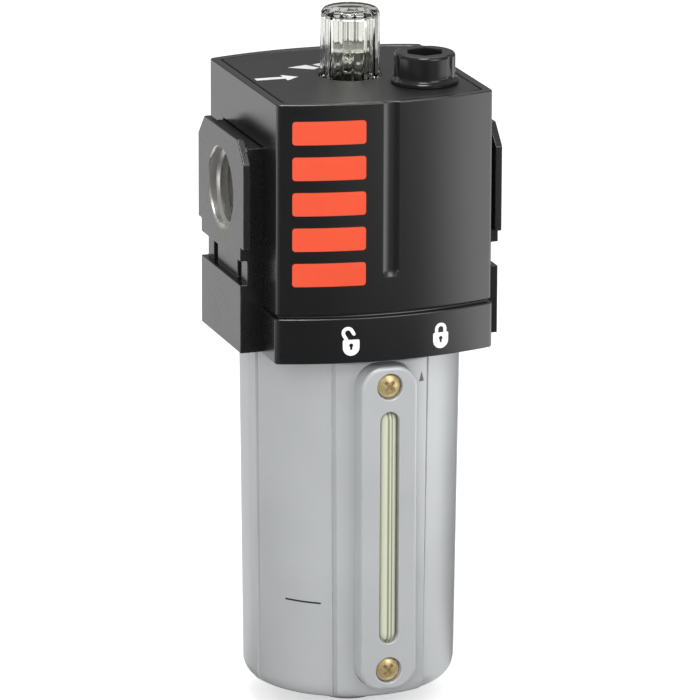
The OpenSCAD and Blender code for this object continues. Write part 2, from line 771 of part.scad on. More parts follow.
module air_check_ball() {
    color([0.7, 0.7, 0.72])
        translate([-air_valve_x, 0, air_seat_top_z + ball_rest(air_ball_r, air_hole_r)])
            sphere(r = air_ball_r);
}

// The bowl's drafted wall from height z0 to z1, grown by g, over an angle about the front
module wall_strip(middle, angle, z0, z1, g) {
    rotate([0, 0, -90 + middle - angle / 2])
        rotate_extrude(angle = angle)
            polygon([
                [bowl_bore_r + 1, z0], [bowl_radius(z0) + g, z0],
                [bowl_radius(z1) + g, z1], [bowl_bore_r + 1, z1]
            ]);
}

// The raised pad at the bowl's front. Its face is upright, and its lower end is bevelled.
module upright_pad(z1, bevel) {
    r = bowl_r_top + pad_t;
    z0 = bowl_base_z + 1;
    rotate([0, 0, -90 - pad_half_angle])
        rotate_extrude(angle = 2 * pad_half_angle)
            polygon([
                [bowl_bore_r - 1, z0], [r - bevel, z0], [r, z0 + bevel], [r, z1],
                [bowl_bore_r - 1, z1]
            ]);
}

// A round groove down the bowl's wall, at an angle from the front
module wall_groove(angle, r, depth) {
    z0 = bowl_corner_z;
    z_mid = (z0 + shoulder_z) / 2;
    rotate([0, 0, -90 + angle])
        translate([bowl_radius(z_mid) + r - depth, 0, z_mid])
            rotate([0, bowl_draft, 0])
                cylinder(r = r, h = (shoulder_z - z0) + 4 * bowl_corner_r, center = true, $fn = 32);
}

module bowl() {
    side_rib_angle = 78.6;
    pad_top_z = shoulder_z - 0.6;
    color([0.71, 0.72, 0.73]) difference() {
        union() {
            difference() {
                union() {
                    rotate_extrude()
                        polygon([
                            [0, bowl_base_z], [bowl_corner_x, bowl_base_z],
                            [bowl_corner_x, bowl_corner_z],
                            [bowl_corner_x + bowl_corner_r * cos(bowl_draft),
                             bowl_corner_z - bowl_corner_r * sin(bowl_draft)],
                            [bowl_r_top, shoulder_z], [0, shoulder_z]
                        ]);
                    translate([0, 0, bowl_corner_z]) ring(bowl_corner_x, 2 * bowl_corner_r);
                    for (s = [-1, 1])
                        wall_strip(s * side_rib_angle, 7, bowl_corner_z, pad_top_z, 0.35);
                }
                for (s = [-1, 1]) wall_groove(s * (pad_half_angle + 2), 1.2, 0.5);
            }
            upright_pad(pad_top_z, 3);
            front_pad(
                plate_w + 2 * plate_clear, plate_h + 2 * plate_clear,
                plate_corner_r + plate_clear, bowl_bore_r + 1, land_front
            );
            cylinder(r = foot_r, h = foot_h + over);
            translate([0, 0, shoulder_z - over]) cylinder(r = neck_r, h = neck_h + over);
            for (i = [0 : lug_count - 1])
                rotate([0, 0, lug_middle - lug_angle / 2 + i * 360 / lug_count])
                    rotate_extrude(angle = lug_angle)
                        translate([neck_r - over, lug_z])
                            square([lug_r - neck_r + over, lug_h]);
        }
        translate([0, 0, bowl_floor_z])
            cylinder(r = bowl_bore_r, h = shoulder_z + neck_h - bowl_floor_z + over);
        translate([0, 0, bowl_ring_z - bowl_ring_d / 2 - push_gap])
            tube(neck_r + over, bowl_ring_floor_r, bowl_ring_d + 2 * push_gap);
        front_pad(
            plate_w + 2 * plate_clear, plate_h + 2 * plate_clear, plate_corner_r + plate_clear,
            land_front, plate_front
        );
        front_slot(
            channel_w, sight_hole_pitch + 2 * channel_w, land_front - channel_depth, land_front + over
        );
        for (s = [-1, 1]) {
            front_rod(
                0, slot_z + s * sight_hole_pitch / 2, sight_hole_r, bowl_bore_r - over, land_front
            );
            front_rod(
                0, strip_z + s * screw_pitch / 2, screw_r + push_gap,
                screw_seat - screw_len - 0.1, land_front + over
            );
        }
    }
}

module bowl_o_ring() {
    color([0.05, 0.05, 0.05])
        translate([0, 0, bowl_ring_z]) ring(bowl_ring_floor_r + bowl_ring_d / 2, bowl_ring_d);
}

module sight_plate() {
    pocket_front = land_front + gasket_t + glass_t + glass_clear;
    color([0.73, 0.74, 0.75]) difference() {
        front_pad(plate_w, plate_h, plate_corner_r, land_front, plate_front);
        front_slot(
            glass_w + 2 * glass_clear, glass_len + 2 * glass_clear,
            land_front - over, pocket_front
        );
        front_slot(sight_slot_w, sight_slot_len, land_front, plate_front + over);
        for (s = [-1, 1]) {
            front_rod(
                0, strip_z + s * screw_pitch / 2, screw_r + 0.15, land_front - over,
                plate_front + over
            );
            front_rod(
                0, strip_z + s * screw_pitch / 2, counterbore_r, screw_seat, plate_front + over
            );
        }
    }
}

module sight_glass() {
    back = land_front + gasket_t;
    lens_r = sight_slot_w / 2 - glass_clear;
    lens_front = max(plate_front - 0.5, back + 2 * lens_r + 0.05) - lens_r;
    lens_half = sight_slot_len / 2 - sight_slot_w / 2;
    color([0.86, 0.88, 0.78, 0.5]) union() {
        front_slot(glass_w, glass_len, back, back + glass_t);
        translate([0, -lens_front, slot_z]) {
            cylinder(r = lens_r, h = 2 * lens_half, center = true);
            for (s = [-1, 1]) translate([0, 0, s * lens_half]) sphere(r = lens_r);
        }
    }
}

module sight_gasket() {
    rim_t = 1.6;
    color([0.1, 0.1, 0.1]) difference() {
        front_slot(glass_w, glass_len, land_front, land_front + gasket_t);
        front_slot(
            glass_w - 2 * rim_t, glass_len - 2 * rim_t, land_front - over,
            land_front + gasket_t + over
        );
    }
}

module sight_screws() {
    crown_r = 5.8;
    cross_w = 0.9;
    cross_len = 3.4;
    cross_depth = 1.3;
    color([0.8, 0.68, 0.35])
        for (s = [-1, 1])
            translate([0, -screw_seat, strip_z + s * screw_pitch / 2])
                rotate([90, 0, 0])
                    difference() {
                        union() {
                            intersection() {
                                cylinder(r = screw_head_r, h = screw_head_h);
                                translate([0, 0, screw_head_h - crown_r]) sphere(r = crown_r);
                            }
                            translate([0, 0, -screw_len])
                                cylinder(r = screw_r, h = screw_len + screw_head_h / 2);
                        }
                        for (a = [45, 135])
                            rotate([0, 0, a])
                                translate([
                                    -cross_len / 2, -cross_w / 2, screw_head_h - cross_depth
                                ])
                                    cube([cross_len, cross_w, cross_depth + over]);
                    }
}

body_casting();
cover();
top_plate();
dome_seal_ring();
dome_retaining_clip();
drip_insert();
vane_carrier();
flow_vane();
siphon_adaptor();
siphon_tube();
pickup_strainer();
air_valve_seat();
siphon_check_ball();
air_check_ball();
sight_dome();
dome_o_ring();
fill_plug_o_ring();
fill_plug();
bowl();
bowl_o_ring();
sight_plate();
sight_glass();
sight_gasket();
sight_screws();
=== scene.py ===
"""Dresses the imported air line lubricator: rounded castings, threads, dome, prints and finishes."""

import math

import bmesh
import bpy
from mathutils import Matrix, Vector


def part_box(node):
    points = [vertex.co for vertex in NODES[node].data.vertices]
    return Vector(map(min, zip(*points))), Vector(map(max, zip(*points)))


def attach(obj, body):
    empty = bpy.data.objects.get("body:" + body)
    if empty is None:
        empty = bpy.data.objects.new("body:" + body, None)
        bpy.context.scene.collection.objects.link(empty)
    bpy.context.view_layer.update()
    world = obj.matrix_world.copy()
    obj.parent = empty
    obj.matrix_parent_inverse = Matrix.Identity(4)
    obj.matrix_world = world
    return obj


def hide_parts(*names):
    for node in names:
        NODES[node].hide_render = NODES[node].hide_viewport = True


bl_info = {
    "name": "Air line lubricator looks",
    "version": (1, 0, 0),
    "blender": (4, 5, 0),
    "location": "3D View > Sidebar > Lubricator",
    "description": "Builds the visible pieces and finishes of a lubricator on its packed frame",
    "category": "Object",
}

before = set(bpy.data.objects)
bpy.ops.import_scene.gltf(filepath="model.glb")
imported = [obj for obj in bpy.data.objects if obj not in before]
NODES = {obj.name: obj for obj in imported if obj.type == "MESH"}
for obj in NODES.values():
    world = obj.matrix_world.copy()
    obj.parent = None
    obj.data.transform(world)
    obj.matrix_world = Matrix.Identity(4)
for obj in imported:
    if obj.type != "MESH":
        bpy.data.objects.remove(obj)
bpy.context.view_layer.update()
MM = 0.001
PORT_Z = 141.5 * MM

# The cover's front is a bow of this half width and depth, with its middle this far forward
BOW_HALF, BOW_DEPTH, BOW_FRONT = 29.4 * MM, 5.2 * MM, 34.3 * MM
BOW_RADIUS = (BOW_HALF**2 + BOW_DEPTH**2) / (2 * BOW_DEPTH)

# The bowl's wall leans from its base to its shoulder. Its flat land carries the sight plate
BOWL_BASE, BOWL_SHOULDER = 6.1 * MM, 100.2 * MM
WALL_BASE, WALL_TOP = 28.0 * MM, 29.1 * MM
LAND = 28.6 * MM

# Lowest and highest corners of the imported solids
DOME_LOW, DOME_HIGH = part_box("sight_dome")
PLUG_LOW, PLUG_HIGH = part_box("fill_plug")
PLATE_LOW, PLATE_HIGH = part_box("sight_plate")
BOWL_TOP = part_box("bowl")[1].z
RING_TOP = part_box("dome_seal_ring")[1].z
TOP_PLATE_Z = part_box("top_plate")[1].z

WHITE = (1, 1, 1, 1)
FLOAT, COLOUR, VECTOR = "NodeSocketFloat", "NodeSocketColor", "NodeSocketVector"


# ------------ handling


def deselect():
    """Back to object mode with nothing selected."""
    if bpy.context.object and bpy.context.object.mode != "OBJECT":
        bpy.ops.object.mode_set(mode="OBJECT")
    bpy.ops.object.select_all(action="DESELECT")


def pick(obj):
    """Selects obj alone and makes it active."""
    deselect()
    obj.select_set(True)
    bpy.context.view_layer.objects.active = obj


def edit(obj, action="DESELECT"):
    """Opens obj in edit mode with nothing or everything selected and returns its mesh."""
    pick(obj)
    bpy.ops.object.mode_set(mode="EDIT")
    bpy.ops.mesh.select_mode(type="VERT")
    bpy.ops.mesh.select_all(action=action)
    return bmesh.from_edit_mesh(obj.data)


def close_up(doubles=1e-7):
    """Ends edit mode with doubles merged and every face turned outwards."""
    bpy.ops.mesh.select_all(action="SELECT")
    bpy.ops.mesh.remove_doubles(threshold=doubles)
    bpy.ops.mesh.normals_make_consistent(inside=False)
    bpy.ops.object.mode_set(mode="OBJECT")


def outward(obj):
    """Merges doubles and turns every face outwards."""
    edit(obj)
    close_up()


def use_modifier(obj, kind, **values):
    """Adds a modifier with these values and applies it."""
    pick(obj)
    modifier = obj.modifiers.new(kind.title(), kind)
    for key, value in values.items():
        setattr(modifier, key, value)
    bpy.ops.object.modifier_apply(modifier=modifier.name)


def smooth(obj, angle=32):
    """Smooth shading up to an edge angle in degrees."""
    pick(obj)
    bpy.ops.object.shade_smooth_by_angle(angle=math.radians(angle))


def settle(obj, angle=32):
    """Smooth shading in which large faces stay flat beside their rounded edges."""
    smooth(obj, angle)
    use_modifier(obj, "WEIGHTED_NORMAL", keep_sharp=True, weight=90)


def joined(objs):
    pick(objs[0])
    for obj in objs[1:]:
        obj.select_set(True)
    if len(objs) > 1:
        bpy.ops.object.join()
    return bpy.context.object


def finish_piece(obj, name, body, slot, finish, *nodes):
    """Sets the piece's place, name, finish and body, and hides the nodes that it stands for."""
    pick(obj)
    bpy.ops.object.transform_apply(location=True, rotation=True, scale=True)
    obj.name = name
    obj.data.name = name
    obj.data.materials.clear()
    obj.data.materials.append(finish)
    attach(obj, body)
    if nodes:
        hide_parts(*nodes)


def finish_node(node, finish):
    """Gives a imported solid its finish."""
    obj = NODES[node]
    obj.data.materials.clear()
    obj.data.materials.append(finish)
    smooth(obj, 25)


def merged_copy(node):
    """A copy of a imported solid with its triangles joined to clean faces."""
    obj = bpy.data.objects.new(node + "_copy", NODES[node].data.copy())
    bpy.context.scene.collection.objects.link(obj)
    edit(obj, "SELECT")
    bpy.ops.mesh.remove_doubles(threshold=2e-6)
    bpy.ops.mesh.dissolve_limited(angle_limit=math.radians(0.8))
    bpy.ops.object.mode_set(mode="OBJECT")
    return obj


def round_edges(obj, width, test, segments=3, clamp=True):
    """Rounds the sharp edges that pass the test, by a bevel on weighted edges."""
    pick(obj)
    sharp = math.radians(32)
    mesh = bmesh.new()
    mesh.from_mesh(obj.data)
    layers = mesh.edges.layers.float
    layer = layers.get("bevel_weight_edge") or layers.new("bevel_weight_edge")
    for edge in mesh.edges:
        chosen = len(edge.link_faces) == 2 and edge.calc_face_angle(0) > sharp and test(edge)
        edge[layer] = 1.0 if chosen else 0.0
    mesh.to_mesh(obj.data)
    mesh.free()
    use_modifier(
        obj, "BEVEL", width=width, segments=segments, limit_method="WEIGHT",
        use_clamp_overlap=clamp, miter_outer="MITER_ARC",
    )
    attribute = obj.data.attributes.get("bevel_weight_edge")
    if attribute:
        obj.data.attributes.remove(attribute)


def middle(edge):
    return (edge.verts[0].co + edge.verts[1].co) / 2


def move_to(obj, order, points):
    """In edit mode, moves the verts with these indices to these points."""
    mesh = bmesh.from_edit_mesh(obj.data)
    mesh.verts.ensure_lookup_table()
    for index, point in zip(order, points):
        mesh.verts[index].co = point
    bmesh.update_edit_mesh(obj.data)


def loft(angles, profile, caps=(True, True), centre=(0, 0)):
    """A skin made by extruding one circle ring by ring.

    profile lists each ring's radius, a number or a function of the angle in degrees, and height.
    """
    rings = []
    for radius, z in profile:
        ring = []
        for angle in angles:
            r = radius(angle) if callable(radius) else radius
            a = math.radians(angle)
            ring.append((centre[0] + r * math.cos(a), centre[1] + r * math.sin(a), z))
        rings.append(ring)

    def key(place):
        return tuple(round(c, 7) for c in place)

    deselect()
    bpy.ops.mesh.primitive_circle_add(vertices=len(angles), radius=1, enter_editmode=True)
    obj = bpy.context.object
    order = list(range(len(angles)))
    move_to(obj, order, rings[0])
    if caps[0]:
        bpy.ops.mesh.edge_face_add()
        bpy.ops.mesh.select_mode(type="EDGE")
        bpy.ops.mesh.select_all(action="SELECT")
        bpy.ops.mesh.region_to_loop()
        bpy.ops.mesh.select_mode(type="VERT")
    for ring in rings[1:]:
        mesh = bmesh.from_edit_mesh(obj.data)
        mesh.verts.ensure_lookup_table()
        old = {key(mesh.verts[i].co): k for k, i in enumerate(order)}
        if caps[0] and ring is rings[1]:
            bpy.ops.mesh.extrude_edges_move()
        else:
            bpy.ops.mesh.extrude_region_move()
        mesh = bmesh.from_edit_mesh(obj.data)
        mesh.verts.index_update()
        for vert in mesh.verts:
            if vert.select:
                order[old[key(vert.co)]] = vert.index
        move_to(obj, order, ring)
    if caps[1]:
        bpy.ops.mesh.edge_face_add()
    close_up()
    return obj


def step(value, low, high):
    """0 below low, 1 above high, smooth between them."""
    t = min(max((value - low) / (high - low), 0.0), 1.0)
    return t * t * (3 - 2 * t)


# ------------ finishes


def fill(tree, made, inputs):
    """Sets a node's inputs, each to a value or to the socket that feeds it."""
    for key, value in inputs.items():
        if isinstance(value, bpy.types.NodeSocket):
            tree.links.new(value, made.inputs[key])
        else:
            made.inputs[key].default_value = value
    return made


def add(tree, kind, inputs=None, **settings):
    """A new shader node with these settings and inputs."""
    made = tree.nodes.new("ShaderNode" + kind)
    for key, value in settings.items():
        setattr(made, key, value)
    return fill(tree, made, inputs or {})


def maths(tree, operation, *inputs):
    return add(tree, "Math", dict(enumerate(inputs)), operation=operation).outputs[0]


def vector_maths(tree, operation, *inputs, out="Vector"):
    return add(tree, "VectorMath", dict(enumerate(inputs)), operation=operation).outputs[out]


def map_range(tree, value, low, high, to_low=0.0, to_high=1.0, kind="LINEAR"):
    return add(tree, "MapRange", {
        "Value": value, "From Min": low, "From Max": high, "To Min": to_low, "To Max": to_high,
    }, interpolation_type=kind).outputs["Result"]


def mixed(tree, share, first, second):
    return add(tree, "MixShader", {0: share, 1: first, 2: second}).outputs[0]


def object_place(tree):
    return add(tree, "TexCoord").outputs["Object"]


def noise(tree, scale, detail):
    return add(
        tree, "TexNoise", {"Vector": object_place(tree), "Scale": scale, "Detail": detail}
    ).outputs["Fac"]


def new_group(name, inputs, outputs):
    """A shader node group with these sockets: its tree, input node and output node."""
    tree = bpy.data.node_groups.new(name, "ShaderNodeTree")
    for key, kind, value in inputs:
        made = tree.interface.new_socket(name=key, in_out="INPUT", socket_type=kind)
        if value is not None:
            made.default_value = value
    for key, kind in outputs:
        tree.interface.new_socket(name=key, in_out="OUTPUT", socket_type=kind)
    return tree, tree.nodes.new("NodeGroupInput"), tree.nodes.new("NodeGroupOutput")


def new_material(name):
    """A material with its tree and its shader."""
    made = bpy.data.materials.new(name)
    made.use_nodes = True
    return made, made.node_tree, made.node_tree.nodes["Principled BSDF"]


def raise_surface(tree, shader, height, strength, depth):
    raised = add(tree, "Bump", {"Strength": strength, "Distance": depth, "Height": height})
    fill(tree, shader, {"Normal": raised.outputs["Normal"]})


def grain_group():
    """Fine grain: a height, a change of roughness and a change of brightness."""
    tree = bpy.data.node_groups.get("fine_grain")
    if tree:
        return tree
    tree, given, out = new_group(
        "fine_grain",
        [("Scale", FLOAT, 900.0), ("Roughness", FLOAT, 0.3), ("Spread", FLOAT, 0.05)],
        [("Height", FLOAT), ("Roughness", FLOAT), ("Smudge", FLOAT)],
    )
    grain = noise(tree, given.outputs["Scale"], 3)
    smudge = noise(tree, 42, 4)
    centred = maths(tree, "SUBTRACT", maths(tree, "ADD", grain, smudge), 1.0)
    rough = maths(
        tree, "MULTIPLY_ADD", centred, given.outputs["Spread"], given.outputs["Roughness"]
    )
    fill(tree, out, {"Height": grain, "Roughness": rough, "Smudge": smudge})
    return tree


def wear_and_sheen_group():
    """Edge wear, and on dark finishes a painted edge highlight: a colour that turns towards the worn
    one along edges, and its mask.
    """
    tree = bpy.data.node_groups.get("edge_wear_and_sheen")
    if tree:
        return tree
    tree, given, out = new_group(
        "edge_wear_and_sheen",
        [
            ("Colour", COLOUR, (0.1, 0.1, 0.1, 1)), ("Worn", COLOUR, (0.3, 0.3, 0.3, 1)),
            ("Amount", FLOAT, 0.3),
        ],
        [("Colour", COLOUR), ("Mask", FLOAT)],
    )
    shape = add(tree, "NewGeometry").outputs["Normal"]
    soft = add(tree, "Bevel", {"Radius": 0.5 * MM}, samples=6).outputs["Normal"]
    band = map_range(
        tree, vector_maths(tree, "DOT_PRODUCT", shape, soft, out="Value"), 0.995, 0.90
    )
    spots = map_range(tree, noise(tree, 260, 2), 0.35, 0.65)
    share = maths(tree, "MULTIPLY", maths(tree, "MULTIPLY", band, spots), given.outputs["Amount"])
    mix = add(tree, "Mix", {
        "Factor": share, "A": given.outputs["Colour"], "B": given.outputs["Worn"],
    }, data_type="RGBA").outputs["Result"]
    fill(tree, out, {"Colour": mix, "Mask": share})
    return tree


def coated(
    name, colour, roughness, worn=None, wear=0.0, grain=900.0, spread=0.05, bump=0.05,
    bump_depth=0.02 * MM, **fixed
):
    """A finish with grain, smudges and edge wear, which on dark finishes is partly a painted edge
    highlight. fixed names constants of the shader.
    """
    old = bpy.data.materials.get(name)
    if old:
        return old
    made, tree, shader = new_material(name)
    for key, value in fixed.items():
        shader.inputs[key.replace("_", " ").title().replace("Ior", "IOR")].default_value = value
    fine = add(tree, "Group", {
        "Scale": grain, "Roughness": roughness, "Spread": spread,
    }, node_tree=grain_group())
    tone = add(tree, "Mix", {
        "Factor": 1.0, "A": (*colour[:3], 1),
        "B": map_range(tree, fine.outputs["Smudge"], 0.0, 1.0, 0.9, 1.08),
    }, data_type="RGBA", blend_type="MULTIPLY").outputs["Result"]
    if wear > 0:
        tone = add(tree, "Group", {
            "Colour": tone, "Worn": (*(worn or colour)[:3], 1), "Amount": wear,
        }, node_tree=wear_and_sheen_group()).outputs["Colour"]
    fill(tree, shader, {"Roughness": fine.outputs["Roughness"], "Base Color": tone})
    raise_surface(tree, shader, fine.outputs["Height"], bump, bump_depth)
    return made


def clear_finish(name, colour, roughness, transmission=1.0):
    """A clear moulded plastic with faint flow waves."""
    made, tree, shader = new_material(name)
    wave = noise(tree, 190, 2)
    smoothest, roughest = max(roughness - 0.02, 0.0), roughness + 0.03
    fill(tree, shader, {
        "Transmission Weight": transmission, "IOR": 1.5, "Metallic": 0.0,
        "Base Color": (*colour[:3], 1),
        "Roughness": map_range(tree, wave, 0.0, 1.0, smoothest, roughest),
    })
    raise_surface(tree, shader, wave, 0.12, 0.08 * MM)
    return made


def sight_glass_finish():
    """Milky glass with painted shade: two darker upright lines for the walls of the channel behind
    it, and darker edges.
    """
    held = bpy.context.scene.lubricator_bowl
    made = clear_finish("sight_strip_glass", held.glass_tint, 0.12, 0.3)
    tree = made.node_tree
    apart = add(tree, "SeparateXYZ", {"Vector": object_place(tree)})
    # Places across the glass in millimetres, with the colour there; the darker line colour is
    # painted shade
    half = 2.6
    clear, line = (*held.glass_tint, 1), (*held.channel_shade_tint, 1)
    stops = (
        (-2.5, line), (-2.1, clear), (-0.65, clear), (-0.45, line), (-0.05, line), (0.12, clear),
        (0.4, clear), (0.55, line), (0.85, line), (1.0, clear), (1.9, clear), (2.3, line),
    )
    ramp = add(tree, "ValToRGB", {
        "Fac": map_range(tree, apart.outputs["X"], -half * MM, half * MM),
    })
    points = ramp.color_ramp.elements
    while len(points) < len(stops):
        points.new(0.5)
    for point, (x, colour) in zip(points, stops):
        point.position = (x + half) / (2 * half)
        point.color = colour
    fill(tree, tree.nodes["Principled BSDF"], {"Base Color": ramp.outputs["Color"]})
    return made


def rubber():
    return coated("black_rubber", (0.012, 0.012, 0.012), 0.55, grain=1500.0, spread=0.12, bump=0.1)


def bare_metal():
    return coated(
        "machined_aluminium", (0.74, 0.73, 0.70), 0.30, grain=700.0, spread=0.12, bump=0.06,
        metallic=0.88,
    )


def bowl_finish():
    held = bpy.context.scene.lubricator_bowl
    return coated(
        "grey_bowl_coat", held.colour, 0.36, worn=(0.75, 0.76, 0.77), wear=0.3, grain=1500.0,
        spread=0.08, bump=0.2, metallic=0.25,
    )


# ------------ settings


def colour_value(text, default):
    return bpy.props.FloatVectorProperty(
        name=text, description=text, subtype="COLOR", size=3, min=0, max=1, default=default
    )


def number_value(text, default, **limits):
    return bpy.props.FloatProperty(name=text, description=text, default=default, **limits)


def length_value(text, default, low=0.0, high=1.0):
    return number_value(text, default, min=low, max=high, unit="LENGTH", precision=5)


class HeadSettings(bpy.types.PropertyGroup):
    cover_colour: colour_value("Colour of the cover", (0.010, 0.010, 0.0105))
    casting_colour: colour_value("Colour of the painted casting", (0.008, 0.008, 0.0083))
    edge_round: length_value("Rounding of the cover's edges", 0.4 * MM, 0, 0.002)
    lip_round: length_value("Rounding of the port lip's edges", 0.5 * MM, 0, 0.002)
    thread_pitch: length_value("Pitch of the port thread", 1.814 * MM, 0.0005, 0.004)
    thread_depth: length_value("Depth of the port thread", 1.1 * MM, 0.0002, 0.002)


class DomeSettings(bpy.types.PropertyGroup):
    tint: colour_value("Tint of the clear dome", (0.97, 0.975, 0.93))
    flutes: bpy.props.IntProperty(
        name="Flutes", description="Number of flutes round the dome", default=16, min=8, max=24
    )
    flute_depth: length_value("Depth of the dome's flutes", 0.38 * MM, 0, 0.001)
    plug_colour: colour_value("Colour of the fill plug", (0.012, 0.012, 0.012))


class BowlSettings(bpy.types.PropertyGroup):
    colour: colour_value("Colour of the bowl's coat", (0.50, 0.515, 0.525))
    plate_round: length_value("Rounding of the sight plate's edge", 1.1 * MM, 0, 0.002)
    screw_colour: colour_value("Colour of the plated screws", (0.72, 0.56, 0.28))
    glass_tint: colour_value("Tint of the sight glass", (0.78, 0.8, 0.64))
    # The sight glass's line colour is painted shade of the channel walls behind the glass
    channel_shade_tint: colour_value("Colour of the lines in the sight glass", (0.34, 0.36, 0.24))
    pad_step: length_value("Height of the raised pad at the shoulder", 0.6 * MM, 0, 0.002)
    groove_depth: length_value("Depth of the groove beside the pad", 0.4 * MM, 0, 0.001)
    rib_step: length_value("Height of the side ribs", 0.35 * MM, 0, 0.001)


class PrintSettings(bpy.types.PropertyGroup):
    white: colour_value("White ink", (0.86, 0.86, 0.86))
    orange: colour_value("Orange ink", (0.72, 0.066, 0.018))
    grey: colour_value("Grey ink", (0.12, 0.12, 0.12))
    black: colour_value("Black ink", (0.02, 0.02, 0.02))
    thickness: length_value("Thickness of the ink", 0.03 * MM, 0, 0.0002)


class StageSettings(bpy.types.PropertyGroup):
    azimuth: number_value("Camera's turn round the part, in degrees", -18.4)
    elevation: number_value("Camera's height over the horizon, in degrees", 14.95)
    distance: length_value("Camera distance", 1.674, 0.3, 5.0)
    lens: number_value("Focal length in millimetres", 325.4, min=20, max=600)


# ------------ pieces


class CoverOperator(bpy.types.Operator):
    """Makes the cover with rounded edges"""

    bl_idname = "lubricator.cover"
    bl_label = "Cover"

    def execute(self, context):
        held = context.scene.lubricator_head
        side, front, rim = 28.5 * MM, 26 * MM, 168 * MM

        def outside(edge):
            place = middle(edge)
            return abs(place.x) > side or abs(place.y) > front or place.z > rim

        obj = merged_copy("cover")
        round_edges(obj, held.edge_round, outside, clamp=False)
        settle(obj)
        # The cover's lighter worn edges are partly wear and partly a painted edge highlight
        finish = coated(
            "black_cover", held.cover_colour, 0.25, worn=(0.16, 0.16, 0.16), wear=0.3,
            specular_ior_level=1.0,
        )
        finish_piece(obj, "head_cover", "head", "cover_plastic", finish, "cover")
        return {"FINISHED"}


class CastingOperator(bpy.types.Operator):
    """Makes the casting with rounded port blocks and bare ports"""

    bl_idname = "lubricator.casting"
    bl_label = "Casting"

    def execute(self, context):
        held = context.scene.lubricator_head
        block, mouth = 29.6 * MM, 11.6 * MM
        bore, bore_end, ring_end = 11.2 * MM, 18.4 * MM, 19 * MM

        def off_axis(place):
            return math.hypot(place.y, place.z - PORT_Z)

        def on_block(edge):
            place = middle(edge)
            return abs(place.x) > block and off_axis(place) > mouth

        obj = merged_copy("body_casting")
        round_edges(obj, held.lip_round, on_block)
        settle(obj)
        # The casting's lighter worn edges are partly paint wear and partly a painted edge highlight
        paint = coated(
            "black_casting_paint", held.casting_colour, 0.27, worn=(0.2, 0.2, 0.2), wear=0.35,
            grain=800.0, spread=0.08, bump=0.12, specular_ior_level=1.0,
        )
        finish_piece(obj, "head_casting", "head", "head_paint", paint, "body_casting")
        obj.data.materials.append(bare_metal())
        for face in obj.data.polygons:
            deep = abs(face.center.x)
            if off_axis(face.center) < bore and deep > bore_end:
                if abs(face.normal.x) < 0.99 or deep < ring_end:
                    face.material_index = 1
        return {"FINISHED"}


class ThreadOperator(bpy.types.Operator):
    """Makes the thread ridges in both ports"""

    bl_idname = "lubricator.threads"
    bl_label = "Port threads"

    def execute(self, context):
        held = context.scene.lubricator_head
        root, turns, mouth = 10.5 * MM, 8, 34.8 * MM
        crest = 10.48 * MM - held.thread_depth
        flat, foot = held.thread_pitch * 0.08, held.thread_pitch * 0.46
        profile = [(-foot, 0, root), (-flat, 0, crest), (flat, 0, crest), (foot, 0, root)]
        for name, side in (("inlet_thread", -1), ("outlet_thread", 1)):
            deselect()
            bpy.ops.mesh.primitive_plane_add(size=1, enter_editmode=True)
            obj = bpy.context.object
            move_to(obj, (0, 1, 3, 2), profile)
            bpy.ops.mesh.delete(type="ONLY_FACE")
            bpy.ops.object.mode_set(mode="OBJECT")
            use_modifier(
                obj, "SCREW", axis="X", angle=math.radians(360), screw_offset=held.thread_pitch,
                iterations=turns, steps=56, render_steps=56, use_merge_vertices=False,
            )
            edit(obj, "SELECT")
            bpy.ops.mesh.remove_doubles(threshold=1e-7)
            bpy.ops.mesh.select_all(action="DESELECT")
            bpy.ops.mesh.select_mode(type="EDGE")
            bpy.ops.mesh.select_non_manifold()
            bpy.ops.mesh.edge_face_add()
            close_up()
            ends = [v.co.x for v in obj.data.vertices]
            end = max(ends) if side > 0 else min(ends)
            obj.location = (side * mouth - end, 0, PORT_Z)
            smooth(obj, 25)
            finish_piece(obj, name, "head", "steel", bare_metal())
        return {"FINISHED"}


class TopPlateOperator(bpy.types.Operator):
    """Makes the top plate with a soft edge"""

    bl_idname = "lubricator.top_plate"
    bl_label = "Top plate"

    def execute(self, context):
        obj = merged_copy("top_plate")
        # A fine gap to the cover's rim
        edit(obj, "SELECT")
        bpy.ops.transform.resize(value=(0.99, 0.99, 1.0), center_override=(0.0, 0.0, 0.0))
        bpy.ops.object.mode_set(mode="OBJECT")
        upper = TOP_PLATE_Z - 0.01 * MM
        round_edges(obj, 0.25 * MM, lambda edge: middle(edge).z > upper, segments=2)
        settle(obj)
        finish = coated(
            "dark_top_plate", (0.015, 0.015, 0.0155), 0.40, grain=1300.0, spread=0.08, bump=0.35,
            bump_depth=0.03 * MM,
        )
        finish_piece(obj, "head_top_plate", "head", "top_plate_plastic", finish, "top_plate")
        return {"FINISHED"}


